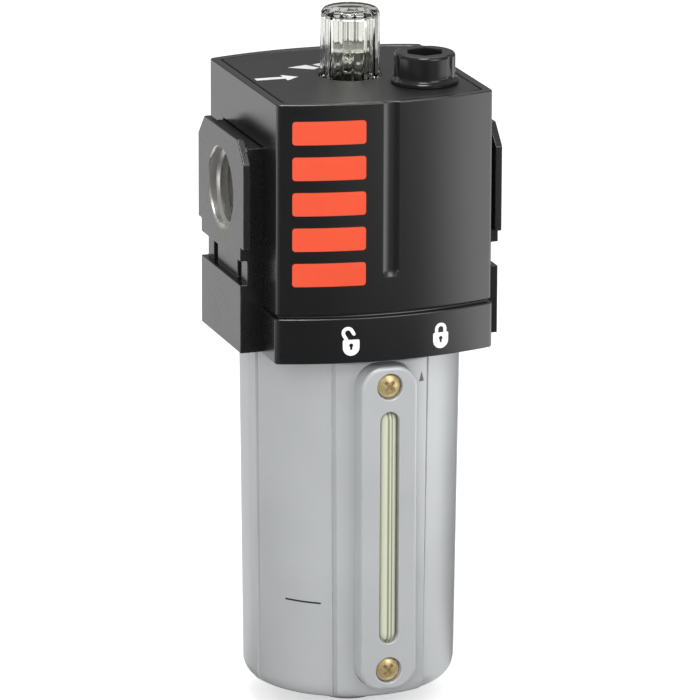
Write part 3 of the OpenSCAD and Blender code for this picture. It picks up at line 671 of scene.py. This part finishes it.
class DomeOperator(bpy.types.Operator):
    """Makes the clear fluted dome and the insert inside it"""

    bl_idname = "lubricator.dome"
    bl_label = "Sight dome"

    def execute(self, context):
        held = context.scene.lubricator_dome
        floor, base, top = DOME_LOW.z, RING_TOP + 0.1 * MM, DOME_HIGH.z
        foot_r, outer, shoulder, crown = 7.95 * MM, 7.7 * MM, 1.7 * MM, 2.0 * MM
        skirt, chamber, bore = 7.35, 6.2 * MM, 5.3 * MM
        groove, seal_groove = 6.35, 6.9
        roof = top - crown
        count = held.flutes * 12
        angles = [360.0 * i / count for i in range(count)]

        def fluted(radius, share):
            def at(angle):
                turn = (angle * held.flutes / 360.0) % 1.0
                valley = max(0.0, math.cos((turn - 0.5) * 2 * math.pi)) ** 3
                return radius - held.flute_depth * share * valley

            return at

        # The skirt with its two grooves, radius and height over the floor in millimetres
        outside = [(bore, floor)]
        outside += [(r * MM, floor + z * MM) for r, z in (
            (skirt - 0.3, 0), (skirt, 0.3), (skirt, 0.62), (groove, 0.62), (groove, 1.68),
            (skirt, 1.68), (skirt, 4.1), (seal_groove, 4.1), (seal_groove, 5.4), (skirt, 5.4),
        )]
        outside += [
            (skirt * MM, base), (foot_r - 0.2 * MM, base), (foot_r, base + 0.2 * MM),
            (fluted(foot_r - 0.02 * MM, 1.0), base + 0.9 * MM),
            (fluted((foot_r + outer) / 2, 1.0), (base + top) / 2),
        ]
        for i in range(9):
            a = math.radians(90.0 * i / 8)
            r = outer - shoulder + shoulder * math.cos(a)
            outside.append((fluted(r, 1.0 - i / 10.0), top - shoulder + shoulder * math.sin(a)))
        outside += [(r * MM, top - 0.18 * MM * (1 - r / 6)) for r in (5.2, 3.8, 2.0, 0.6)]
        inside = [(0.6 * MM, roof + 0.1 * MM)]
        for r in (2.4 * MM, 4.4 * MM, chamber - 0.6 * MM):
            inside.append((r, roof - 0.12 * MM * r / chamber))
        inside += [
            (chamber, roof - 0.6 * MM), (chamber, base + 0.3 * MM), (bore, base), (bore, floor),
        ]
        obj = joined([
            loft(angles, outside, caps=(False, True)), loft(angles, inside, caps=(True, False)),
        ])
        outward(obj)
        smooth(obj, 40)
        clear = clear_finish("clear_dome_plastic", held.tint, 0.03)
        finish_piece(obj, "clear_dome", "dome", "clear_plastic", clear, "sight_dome")
        insert = merged_copy("drip_insert")
        settle(insert)
        finish_piece(
            insert, "clear_insert", "head", "clear_plastic",
            clear_finish("insert_plastic", (0.95, 0.96, 0.93), 0.04), "drip_insert",
        )
        finish_node("dome_seal_ring", rubber())
        finish_node("dome_o_ring", rubber())
        finish_node(
            "dome_retaining_clip",
            coated("spring_steel", (0.5, 0.5, 0.52), 0.3, metallic=1.0, grain=600.0),
        )
        return {"FINISHED"}


class PlugOperator(bpy.types.Operator):
    """Makes the fill plug with its key socket and scallops"""

    bl_idname = "lubricator.fill_plug"
    bl_label = "Fill plug"

    def execute(self, context):
        centre = ((PLUG_LOW.x + PLUG_HIGH.x) / 2, (PLUG_LOW.y + PLUG_HIGH.y) / 2)
        low, top, seat = PLUG_LOW.z, PLUG_HIGH.z, TOP_PLATE_Z + 0.1 * MM
        collar_z = low + 6.8 * MM
        flange, head, collar, shank = 8.85 * MM, 8.0 * MM, 7.4 * MM, 5.85 * MM
        rim, across, scallop = 0.9 * MM, 8.6 * MM, 0.62 * MM
        # How far the key socket and the scallops are turned, in degrees
        turn, scallop_turn = 11.6, 52.4
        angles = [turn + 2.0 * i for i in range(180)]

        def hexagon(angle):
            off = (angle - turn) % 60.0 - 30.0
            return across / 2 / math.cos(math.radians(off))

        def scalloped(radius, share):
            def at(angle):
                off = abs((angle + scallop_turn + 60.0) % 120.0 - 60.0)
                return radius - scallop * share * (1 - step(off, 3.2, 7.2))

            return at

        profile = [
            (shank - 0.6 * MM, low), (shank, low + 0.6 * MM), (shank, collar_z - 0.05 * MM),
            (collar, collar_z), (collar, seat), (flange - 0.2 * MM, seat),
            (flange, seat + 0.2 * MM), (flange, seat + 0.9 * MM),
            (flange - 0.3 * MM, seat + 1.25 * MM), (head + 0.2 * MM, seat + 1.4 * MM),
            (head, seat + 1.7 * MM), (scalloped(head, 1.0), seat + 2.3 * MM),
        ]
        for i in range(7):
            a = math.radians(90.0 * i / 6)
            r = head - rim + rim * math.cos(a)
            profile.append((scalloped(r, 1.0 - i / 8.0), top - rim + rim * math.sin(a)))
        profile += [
            (5.8 * MM, top), (lambda a: hexagon(a) + 0.25 * MM, top),
            (hexagon, top - 0.25 * MM), (hexagon, top - 5.5 * MM),
            (lambda a: hexagon(a) * 0.5, top - 5.7 * MM),
        ]
        obj = loft(angles, profile, centre=centre)
        smooth(obj, 38)
        held = context.scene.lubricator_dome
        gloss = coated("glossy_plug", held.plug_colour, 0.2, spread=0.08, bump=0.04, ior=1.52)
        finish_piece(obj, "filler_plug", "plug", "plug_plastic", gloss, "fill_plug")
        finish_node("fill_plug_o_ring", rubber())
        return {"FINISHED"}


class BowlOperator(bpy.types.Operator):
    """Makes the drafted bowl with its pad, ribs, foot, neck and lugs"""

    bl_idname = "lubricator.bowl"
    bl_label = "Bowl"

    def execute(self, context):
        held = context.scene.lubricator_bowl
        base, shoulder, top = BOWL_BASE, BOWL_SHOULDER, BOWL_TOP
        foot_r, corner, neck, seal_r = 8.1 * MM, 4.2 * MM, 26.6 * MM, 25.2 * MM
        bore, floor = 24.2 * MM, base + 3 * MM
        corner_z = base + corner
        corner_x = WALL_BASE + (WALL_TOP - WALL_BASE) * corner / (shoulder - base) - corner
        pad_low, pad_bevel, pad_r = base + 1 * MM, 3 * MM, WALL_TOP + held.pad_step
        rib_at, rib_half, lug_half = 78.6, 3.5, 13.0

        def wall(z):
            if z < corner_z:
                return corner_x + math.sqrt(max(corner**2 - (corner_z - z) ** 2, 0.0))
            return WALL_BASE + (WALL_TOP - WALL_BASE) * (z - base) / (shoulder - base)

        def outline(z):
            """The wall with its straight pad, the groove beside the pad and the side ribs."""
            plain = wall(z)
            t = max((pad_low + pad_bevel - z) / pad_bevel, 0.0)
            pad = pad_r - pad_bevel * (1 - math.sqrt(max(1 - t * t, 0.0)))
            up = (z - base) / (shoulder - base)
            inner, outer = 23.4 + 1.6 * up, 26.2 + 0.9 * up
            dip = held.groove_depth * step(z, base, base + 1.5 * MM)
            fade = 1 - step(z, shoulder - 1.4 * MM, shoulder - 0.5 * MM)

            def at(angle):
                off = abs((angle + 270.0) % 360.0 - 180.0)
                if off < outer and z > pad_low:
                    share = min((outer - off) / (outer - inner), 1.0)
                    low = plain - dip * fade
                    return plain + (low + (pad - low) * share - plain) * fade
                groove = dip * max(1 - (off - outer) / 0.5, 0.0) if off >= outer else dip
                side = abs(off - rib_at)
                rib = held.rib_step * (1 - step(side, rib_half - 0.5, rib_half))
                line = 2 * held.groove_depth * max(1 - abs(side - rib_half - 0.6) / 0.7, 0.0)
                return plain + (rib - groove - line) * fade * step(z, base, base + 2.0 * MM)

            return at

        def lugged(angle):
            off = abs((angle + 30.0) % 120.0 - 60.0)
            return neck + 1.6 * MM * (1 - step(off, lug_half, lug_half + 1))

        # Finer steps where the pad and the ribs are, on both sides of the front
        angles = {round(a, 2) for a in range(360)}
        for side in (-1, 1):
            for start, apart, count in ((22.6, 0.2, 31), (73.6, 0.25, 41)):
                for i in range(count):
                    angles.add(round((side * (start + apart * i) - 90) % 360, 2))
        heights = [corner_z - corner * math.cos(math.radians(7.5 * i)) for i in range(1, 13)]
        heights += [corner_z + 0.5 * MM * k for k in range(1, 8)]
        heights += [(16 + 4 * k) * MM for k in range(21)]
        heights += [shoulder - d * MM for d in (1.8, 1.4, 1.1, 0.8, 0.5)]
        profile = [
            (foot_r - 0.4 * MM, 0.0), (foot_r, 0.4 * MM), (foot_r + 0.3 * MM, base - 0.9 * MM),
            (foot_r + 1.2 * MM, base), (12 * MM, base), (17 * MM, base), (corner_x, base),
        ]
        profile += [(outline(z), z) for z in heights]
        profile += [
            (WALL_TOP - 0.3 * MM, shoulder), (neck, shoulder), (neck, 103.9 * MM),
            (lugged, 104 * MM), (lugged, 107 * MM), (neck, 107.1 * MM), (neck, 112.65 * MM),
            (seal_r, 112.65 * MM), (seal_r, 114.35 * MM), (neck, 114.35 * MM),
            (neck, top - 0.6 * MM), (neck - 0.6 * MM, top), (bore + 0.5 * MM, top),
            (bore, top - 0.5 * MM), (bore, floor + 2 * MM), (bore - 2 * MM, floor),
            (4 * MM, floor),
        ]
        obj = loft(sorted(angles), profile)
        gap, deep = 0.3 * MM, 10 * MM
        recess = flat_shape(box_points(
            PLATE_LOW.x - gap, PLATE_LOW.z - gap, PLATE_HIGH.x + gap, PLATE_HIGH.z + gap,
            6.3 * MM, 16,
        ), 1)
        use_modifier(recess, "SOLIDIFY", thickness=deep, offset=0.0)
        recess.location.y = -LAND - deep / 2
        outward(recess)
        use_modifier(obj, "BOOLEAN", object=recess, operation="DIFFERENCE", solver="EXACT")
        bpy.data.objects.remove(recess)
        outward(obj)
        smooth(obj, 28)
        finish_piece(obj, "bowl_shell", "bowl_unit", "bowl_metal", bowl_finish(), "bowl")
        finish_node("bowl_o_ring", rubber())
        return {"FINISHED"}


class SightStripOperator(bpy.types.Operator):
    """Makes the sight plate, its glass and its screws"""

    bl_idname = "lubricator.sight_strip"
    bl_label = "Sight strip"

    def execute(self, context):
        held = context.scene.lubricator_bowl
        obj = merged_copy("sight_plate")
        front = PLATE_LOW.y + 0.01 * MM
        half, end = 3.7 * MM, 1.2 * MM

        def opening(edge):
            place = middle(edge)
            return abs(place.x) < half and PLATE_LOW.z + end < place.z < PLATE_HIGH.z - end

        def rim(edge):
            return middle(edge).y < front and not opening(edge)

        round_edges(obj, held.plate_round, rim, segments=6)
        round_edges(obj, 0.3 * MM, lambda edge: middle(edge).y < front and opening(edge))
        settle(obj)
        finish_piece(
            obj, "sight_window_plate", "bowl_unit", "bowl_metal", bowl_finish(), "sight_plate"
        )
        glass = merged_copy("sight_glass")
        settle(glass, 40)
        finish_piece(
            glass, "sight_strip_glass", "bowl_unit", "clear_plastic", sight_glass_finish(),
            "sight_glass",
        )
        finish_node("sight_gasket", rubber())
        zinc = coated(
            "yellow_zinc", held.screw_colour, 0.28, worn=(0.8, 0.75, 0.6), wear=0.5, grain=700.0,
            spread=0.2, bump=0.1, metallic=0.6,
        )
        obj = merged_copy("sight_screws")
        round_edges(obj, 0.12 * MM, lambda edge: True, segments=2)
        settle(obj)
        finish_piece(obj, "plate_screws", "bowl_unit", "screw_zinc", zinc, "sight_screws")
        return {"FINISHED"}


class InnerPartsOperator(bpy.types.Operator):
    """Gives the hidden working parts their finishes"""

    bl_idname = "lubricator.inner_parts"
    bl_label = "Inner parts"

    def execute(self, context):
        white = coated("white_nylon", (0.72, 0.72, 0.68), 0.4, grain=1200.0, bump=0.1)
        milky = coated("milky_tube", (0.75, 0.75, 0.7), 0.3, grain=900.0, bump=0.03)
        bronze = coated(
            "sintered_bronze", (0.42, 0.27, 0.12), 0.55, grain=2600.0, spread=0.2, bump=1.0,
            bump_depth=0.1 * MM, metallic=0.8,
        )
        brass = coated("turned_brass", (0.7, 0.5, 0.2), 0.25, grain=800.0, metallic=1.0)
        steel = coated("polished_ball", (0.6, 0.6, 0.62), 0.12, grain=800.0, metallic=1.0)
        for node, finish in (
            ("vane_carrier", white), ("siphon_adaptor", white), ("siphon_tube", milky),
            ("pickup_strainer", bronze), ("air_valve_seat", brass), ("flow_vane", rubber()),
            ("siphon_check_ball", steel), ("air_check_ball", steel),
        ):
            finish_node(node, finish)
        return {"FINISHED"}


# ------------ prints


def flat_shape(points, unit=MM):
    """A flat face in the X-Z plane through these points."""
    deselect()
    bpy.ops.mesh.primitive_circle_add(
        vertices=len(points), radius=1, fill_type="NGON", enter_editmode=True
    )
    obj = bpy.context.object
    move_to(obj, range(len(points)), [(x * unit, 0, z * unit) for x, z in points])
    bpy.ops.object.mode_set(mode="OBJECT")
    return obj


def cut_in_strips(obj, spacing):
    """Cuts a flat shape along upright lines so that it can follow a curved face."""
    xs = [v.co.x for v in obj.data.vertices]
    edit(obj)
    x = math.ceil(min(xs) / spacing) * spacing
    while x < max(xs):
        bpy.ops.mesh.select_all(action="SELECT")
        bpy.ops.mesh.bisect(plane_co=(x, 0, 0), plane_no=(1, 0, 0))
        x += spacing
    bpy.ops.object.mode_set(mode="OBJECT")


def lay_on(obj, surface, name, body, colour):
    """Lays a flat print on the surface, a function of x and z, in one of the inks' colours."""
    held = bpy.context.scene.lubricator_print
    mesh = edit(obj)
    for vert in mesh.verts:
        vert.co = surface(vert.co.x, vert.co.z)
    bmesh.update_edit_mesh(obj.data)
    close_up(1e-6)
    use_modifier(obj, "SOLIDIFY", thickness=2 * held.thickness, offset=0.0)
    outward(obj)
    ink = coated(
        colour + "_print", getattr(held, colour), 0.42, grain=1400.0, spread=0.1, bump=0.04
    )
    finish_piece(obj, name, body, "white_plastic", ink)


def on_cover(proud):
    def at(x, z):
        radius = BOW_RADIUS + proud
        return (x, -(math.sqrt(radius**2 - x**2) - BOW_RADIUS + BOW_FRONT), z)

    return at


def on_top(x, z):
    return (x, z, TOP_PLATE_Z)


def on_bowl(proud=0.0):
    """x is the arc length from the front at the land's radius, z the height."""

    def at(x, z):
        up = (z - BOWL_BASE) / (BOWL_SHOULDER - BOWL_BASE)
        wall = WALL_BASE + (WALL_TOP - WALL_BASE) * up + proud
        return (wall * math.sin(x / LAND), -wall * math.cos(x / LAND), z)

    return at


def arc_points(centre, radius, start, end, count=10):
    """Points of an arc between two angles in degrees."""
    points = []
    for i in range(count + 1):
        a = math.radians(start + (end - start) * i / count)
        points.append((centre[0] + radius * math.cos(a), centre[1] + radius * math.sin(a)))
    return points


def box_points(x0, z0, x1, z1, corner=0.0, steps=5):
    if corner <= 0:
        return [(x0, z0), (x1, z0), (x1, z1), (x0, z1)]
    points = []
    for x, z, start in (
        (x1 - corner, z0 + corner, -90), (x1 - corner, z1 - corner, 0),
        (x0 + corner, z1 - corner, 90), (x0 + corner, z0 + corner, 180),
    ):
        points += arc_points((x, z), corner, start, start + 90, steps)
    return points


def padlock(x, z, opened):
    """The shapes of a padlock sign: two halves round the keyhole, and the open shackle."""
    half, top, low = 2.3, 4.5, 2.3
    outer, inner, lift = 1.75, 0.78, 5.45
    hole, hole_z, slot, slot_z = 0.56, 2.9, 0.3, 1.65
    left = arc_points((0, low), half, -90, -180)
    left += [(-half, top - 0.25), (-half + 0.25, top)]
    if opened:
        left.append((0, top))
    else:
        left += [(-outer, top)] + arc_points((0, lift), outer, 180, 90)
        left += arc_points((0, lift), inner, 90, 180) + [(-inner, top), (0, top)]
    end = 180 + math.degrees(math.acos(slot / hole))
    left += arc_points((0, hole_z), hole, 90, end) + [(-slot, slot_z), (0, slot_z)]
    shapes = [left, [(-u, v) for u, v in left]]
    if opened:
        # The shackle leans to the left over its left foot
        degrees = 30
        lean = math.radians(degrees)
        along = (math.sin(lean), -math.cos(lean))
        centre = (-0.92, top + 1.93)

        def to_body(point):
            reach = (point[1] - top) / math.cos(lean)
            return (point[0] + along[0] * reach, top)

        shackle = arc_points(centre, outer, 180 + degrees, degrees)
        back = arc_points(centre, inner, degrees, 180 + degrees)
        mid, cap, free = (outer + inner) / 2, (outer - inner) / 2, 1.1
        tip = (
            centre[0] + mid * math.cos(lean) + along[0] * free,
            centre[1] + mid * math.sin(lean) + along[1] * free,
        )
        shapes.append(
            [to_body(shackle[0])] + shackle
            + arc_points(tip, cap, degrees, degrees - 180, 6)
            + back + [to_body(back[-1])]
        )
    size = 0.95
    return [[(x + size * u, z + size * v) for u, v in shape] for shape in shapes]


class CoverPrintsOperator(bpy.types.Operator):
    """Prints the padlocks and a plain orange bar pattern on the cover"""

    bl_idname = "lubricator.cover_prints"
    bl_label = "Prints on the cover"

    def execute(self, context):
        strip, band = 1.5 * MM, 0.4 * MM
        signs = padlock(-10.7, 102.8, True) + padlock(14.0, 102.7, False)
        heights = [121.4 + i * 9.4 for i in range(5)]
        bars = [box_points(-25.6, low, -6.8, low + 6.2, 0.8) for low in heights]
        for name, shapes, proud, colour in (
            ("lock_signs", signs, band, "white"), ("orange_bars", bars, 0.0, "orange"),
        ):
            obj = joined([flat_shape(points) for points in shapes])
            cut_in_strips(obj, strip)
            lay_on(obj, on_cover(proud), name, "head", colour)
        return {"FINISHED"}


class TopPrintsOperator(bpy.types.Operator):
    """Prints the flow arrow and the turning arrow on the top plate"""

    bl_idname = "lubricator.top_prints"
    bl_label = "Prints on the top"

    def execute(self, context):
        obj = joined([flat_shape(points) for points in (
            box_points(-25.6, -0.1, -17.8, 2.1),
            [(-17.8, -2.3), (-14.0, 0.95), (-17.8, 4.3)],
            [(-13.2, 12.0), (-7.3, 8.1), (-5.4, 9.6), (-7.7, 13.7)],
            arc_points((0, 0), 14.9, 50, 113, 24) + arc_points((0, 0), 12.3, 113, 50, 24),
        )])
        lay_on(obj, on_top, "flow_signs", "head", "white")
        return {"FINISHED"}


class BowlPrintsOperator(bpy.types.Operator):
    """Prints the lock pointer and the lowest oil level on the bowl"""

    bl_idname = "lubricator.bowl_prints"
    bl_label = "Prints on the bowl"

    def execute(self, context):
        def along(degrees):
            return LAND / MM * math.radians(degrees)

        at, half, flank = along(21.4), 0.8, 0.7 * MM
        pointer = flat_shape([(at - half, 92.5), (at + half, 92.5), (at, 95.1)])
        lay_on(pointer, on_bowl(flank), "lock_pointer", "bowl_unit", "grey")
        level = flat_shape(box_points(along(-54), 32.65, along(-33), 33.1))
        cut_in_strips(level, 0.8 * MM)
        lay_on(level, on_bowl(), "oil_level_line", "bowl_unit", "black")
        return {"FINISHED"}


# ------------ stage


def walls_group():
    """Brightness of the studio in a level direction, as it is seen in reflections, with a painted
    shadow of the part close to it.
    """
    tree = bpy.data.node_groups.get("studio_walls")
    if tree:
        return tree
    tree, given, out = new_group(
        "studio_walls", [("Vector", VECTOR, None), ("Far", FLOAT, 1.0)], [("Value", FLOAT)]
    )
    level = vector_maths(tree, "MULTIPLY", given.outputs["Vector"], (1, 1, 0))
    unit = vector_maths(tree, "NORMALIZE", level)
    total = 0.0
    # Azimuth of each wall's middle, cosines where it starts and is whole, brightness, and the
    # distances between which it fades in across the floor. The last entry, with a negative
    # brightness, is a painted shadow of the part on the floor close to it, seen in reflections
    for azimuth, start, whole, strength, near, far in (
        (80, 0.60, 0.92, 1.5, 0.18, 0.45), (80, -0.10, 0.40, 0.26, 0.42, 0.54),
        (-168, 0.55, 0.92, 0.95, -1.0, 0.0), (-65, 0.70, 0.98, 0.21, 0.12, 0.34),
        (-103, 0.90, 0.99, 1.3, 0.44, 0.52), (75, 0.88, 0.975, 1.9, 0.44, 0.36),
        (75, 0.88, 0.975, -0.9, 0.28, 0.12),
    ):
        a = math.radians(azimuth)
        middle_of_wall = (math.sin(a), -math.cos(a), 0)
        turn = vector_maths(tree, "DOT_PRODUCT", unit, middle_of_wall, out="Value")
        wall = map_range(tree, turn, start, whole, 0.0, strength, "SMOOTHSTEP")
        fade = map_range(tree, given.outputs["Far"], near, far, 0.0, 1.0, "SMOOTHSTEP")
        total = maths(tree, "MULTIPLY_ADD", wall, fade, total)
    fill(tree, out, {"Value": total})
    return tree


def fresh_tree(owner):
    """Empties a shader tree. Returns it, its light path, and 1 for direct or glass rays."""
    owner.use_nodes = True
    tree = owner.node_tree
    tree.nodes.clear()
    path = add(tree, "LightPath")
    seen = maths(
        tree, "MAXIMUM", path.outputs["Is Camera Ray"], path.outputs["Is Transmission Ray"]
    )
    return tree, path, seen


class StageOperator(bpy.types.Operator):
    """Sets the floor, the lamps, the surroundings and the camera"""

    bl_idname = "lubricator.stage"
    bl_label = "Stage"

    def execute(self, context):
        self.floor()
        self.surroundings(context)
        self.lamps()
        self.camera(context)
        context.scene.view_settings.view_transform = "Standard"
        return {"FINISHED"}

    def floor(self):
        deselect()
        bpy.ops.mesh.primitive_circle_add(vertices=96, radius=6, fill_type="NGON")
        floor = bpy.context.object
        floor.name = "studio_floor"
        made = bpy.data.materials.new("pale_floor")
        tree, path, seen = fresh_tree(made)
        diffuse = add(tree, "BsdfDiffuse", {"Color": (0.8, 0.8, 0.8, 1)})
        glow = add(tree, "Emission", {
            "Color": WHITE, "Strength": maths(tree, "MULTIPLY", seen, 0.5),
        })
        lit = add(tree, "AddShader", {0: diffuse.outputs[0], 1: glow.outputs[0]})
        # In reflections the floor shows the walls of the studio
        place = object_place(tree)
        walls = add(tree, "Group", {
            "Vector": place, "Far": vector_maths(tree, "LENGTH", place, out="Value"),
        }, node_tree=walls_group())
        mirrored = add(tree, "Emission", {"Strength": walls.outputs["Value"]})
        surface = mixed(
            tree, path.outputs["Is Glossy Ray"], lit.outputs[0], mirrored.outputs[0]
        )
        add(tree, "OutputMaterial", {"Surface": surface})
        floor.data.materials.append(made)

    def surroundings(self, context):
        world = context.scene.world or bpy.data.worlds.new("Studio")
        context.scene.world = world
        tree, path, seen = fresh_tree(world)
        place = add(tree, "TexCoord").outputs["Generated"]
        walls = add(tree, "Group", {"Vector": place}, node_tree=walls_group())
        height = add(tree, "SeparateXYZ", {"Vector": place}).outputs["Z"]
        # Over the walls the room's even light is seen in reflections
        shade = add(tree, "Mix", {
            "Factor": map_range(tree, height, 0.12, 0.25),
            "A": maths(tree, "MULTIPLY", walls.outputs["Value"], 0.12), "B": 0.3,
        }).outputs["Result"]
        room = add(tree, "Background", {"Color": (0.60, 0.60, 0.60, 1), "Strength": 1.0})
        mirror = add(tree, "Background", {"Color": WHITE, "Strength": shade})
        white = add(tree, "Background", {"Color": WHITE})
        inside = mixed(tree, path.outputs["Is Glossy Ray"], room.outputs[0], mirror.outputs[0])
        # Glass that is seen in a reflection shows less of the white background
        less = map_range(tree, path.outputs["Glossy Depth"], 0.0, 1.0, 1.0, 0.4)
        share = maths(tree, "MULTIPLY", seen, less)
        add(tree, "OutputWorld", {"Surface": mixed(tree, share, inside, white.outputs[0])})

    def lamps(self):
        # Name, azimuth, height, distance, width, tall, power
        for name, azimuth, height, distance, width, tall, power in (
            ("softbox_right", 22, 0.45, 0.62, 0.35, 0.50, 1.3),
            ("softbox_left", -32, 0.35, 0.80, 0.50, 0.60, 3.1),
            ("softbox_over", -25, 1.05, 0.32, 0.36, 0.34, 2.6),
            ("softbox_back", 158, 0.90, 0.46, 0.60, 0.50, 1.6),
            ("softbox_edge", -27, 1.05, 0.38, 0.34, 0.30, 3.0),
        ):
            a = math.radians(azimuth)
            lamp = bpy.data.lights.new(name, "AREA")
            lamp.shape = "RECTANGLE"
            lamp.size, lamp.size_y, lamp.energy = width, tall, power
            obj = bpy.data.objects.new(name, lamp)
            bpy.context.scene.collection.objects.link(obj)
            obj.location = (math.sin(a) * distance, -math.cos(a) * distance, height)
            aim = Vector((0, 0, 0.09)) - obj.location
            obj.rotation_euler = aim.to_track_quat("-Z", "Y").to_euler()
            obj.visible_camera = False
            # The left lamp gives no haze on the black front, the edge lamp lights edges alone
            obj.visible_glossy = name != "softbox_left"
            obj.visible_diffuse = name != "softbox_edge"

    def camera(self, context):
        held = context.scene.lubricator_stage
        a, e = math.radians(held.azimuth), math.radians(held.elevation)
        right = Vector((math.cos(a), math.sin(a), 0))
        up = Vector((-math.sin(a) * math.sin(e), math.cos(a) * math.sin(e), math.cos(e)))
        target = Vector((0, 0, 0.1035))
        data = bpy.data.cameras.new("photo_camera")
        data.lens = held.lens
        data.sensor_width = 36
        data.clip_start, data.clip_end = 0.05, 40
        obj = bpy.data.objects.new("photo_camera", data)
        context.scene.collection.objects.link(obj)
        obj.location = target + right.cross(up) * held.distance
        # The photograph is cropped off its centre and stands a little askew
        aside, below, askew = 0.29 * MM, 8.58 * MM, math.radians(0.22)
        aim = target + right * aside - up * below - obj.location
        turn = aim.to_track_quat("-Z", "Y").to_matrix().to_4x4()
        obj.rotation_euler = (turn @ Matrix.Rotation(askew, 4, "Z")).to_euler()
        context.scene.camera = obj


class LubricatorPanel(bpy.types.Panel):
    """Lists the pieces of the lubricator"""

    bl_idname = "VIEW3D_PT_lubricator"
    bl_label = "Air line lubricator"
    bl_space_type = "VIEW_3D"
    bl_region_type = "UI"
    bl_category = "Lubricator"

    def draw(self, context):
        for piece in PIECES:
            self.layout.operator(piece.bl_idname)
        for group in SETTINGS:
            held = getattr(context.scene, group)
            box = self.layout.box()
            for key in held.__annotations__:
                box.prop(held, key)


PIECES = (
    CoverOperator, CastingOperator, ThreadOperator, TopPlateOperator, DomeOperator, PlugOperator,
    BowlOperator, SightStripOperator, InnerPartsOperator, CoverPrintsOperator, TopPrintsOperator,
    BowlPrintsOperator, StageOperator,
)
SETTINGS = {
    "lubricator_head": HeadSettings, "lubricator_dome": DomeSettings,
    "lubricator_bowl": BowlSettings, "lubricator_print": PrintSettings,
    "lubricator_stage": StageSettings,
}


def register():
    for group in SETTINGS.values():
        bpy.utils.register_class(group)
    for name, group in SETTINGS.items():
        setattr(bpy.types.Scene, name, bpy.props.PointerProperty(type=group))
    for piece in PIECES:
        bpy.utils.register_class(piece)
    bpy.utils.register_class(LubricatorPanel)


def unregister():
    bpy.utils.unregister_class(LubricatorPanel)
    for piece in reversed(PIECES):
        bpy.utils.unregister_class(piece)
    for name in SETTINGS:
        delattr(bpy.types.Scene, name)
    for group in reversed(list(SETTINGS.values())):
        bpy.utils.unregister_class(group)


def main():
    register()
    for piece in PIECES:
        family, name = piece.bl_idname.split(".")
        getattr(getattr(bpy.ops, family), name)()
    deselect()


if __name__ == "__main__":
    main()
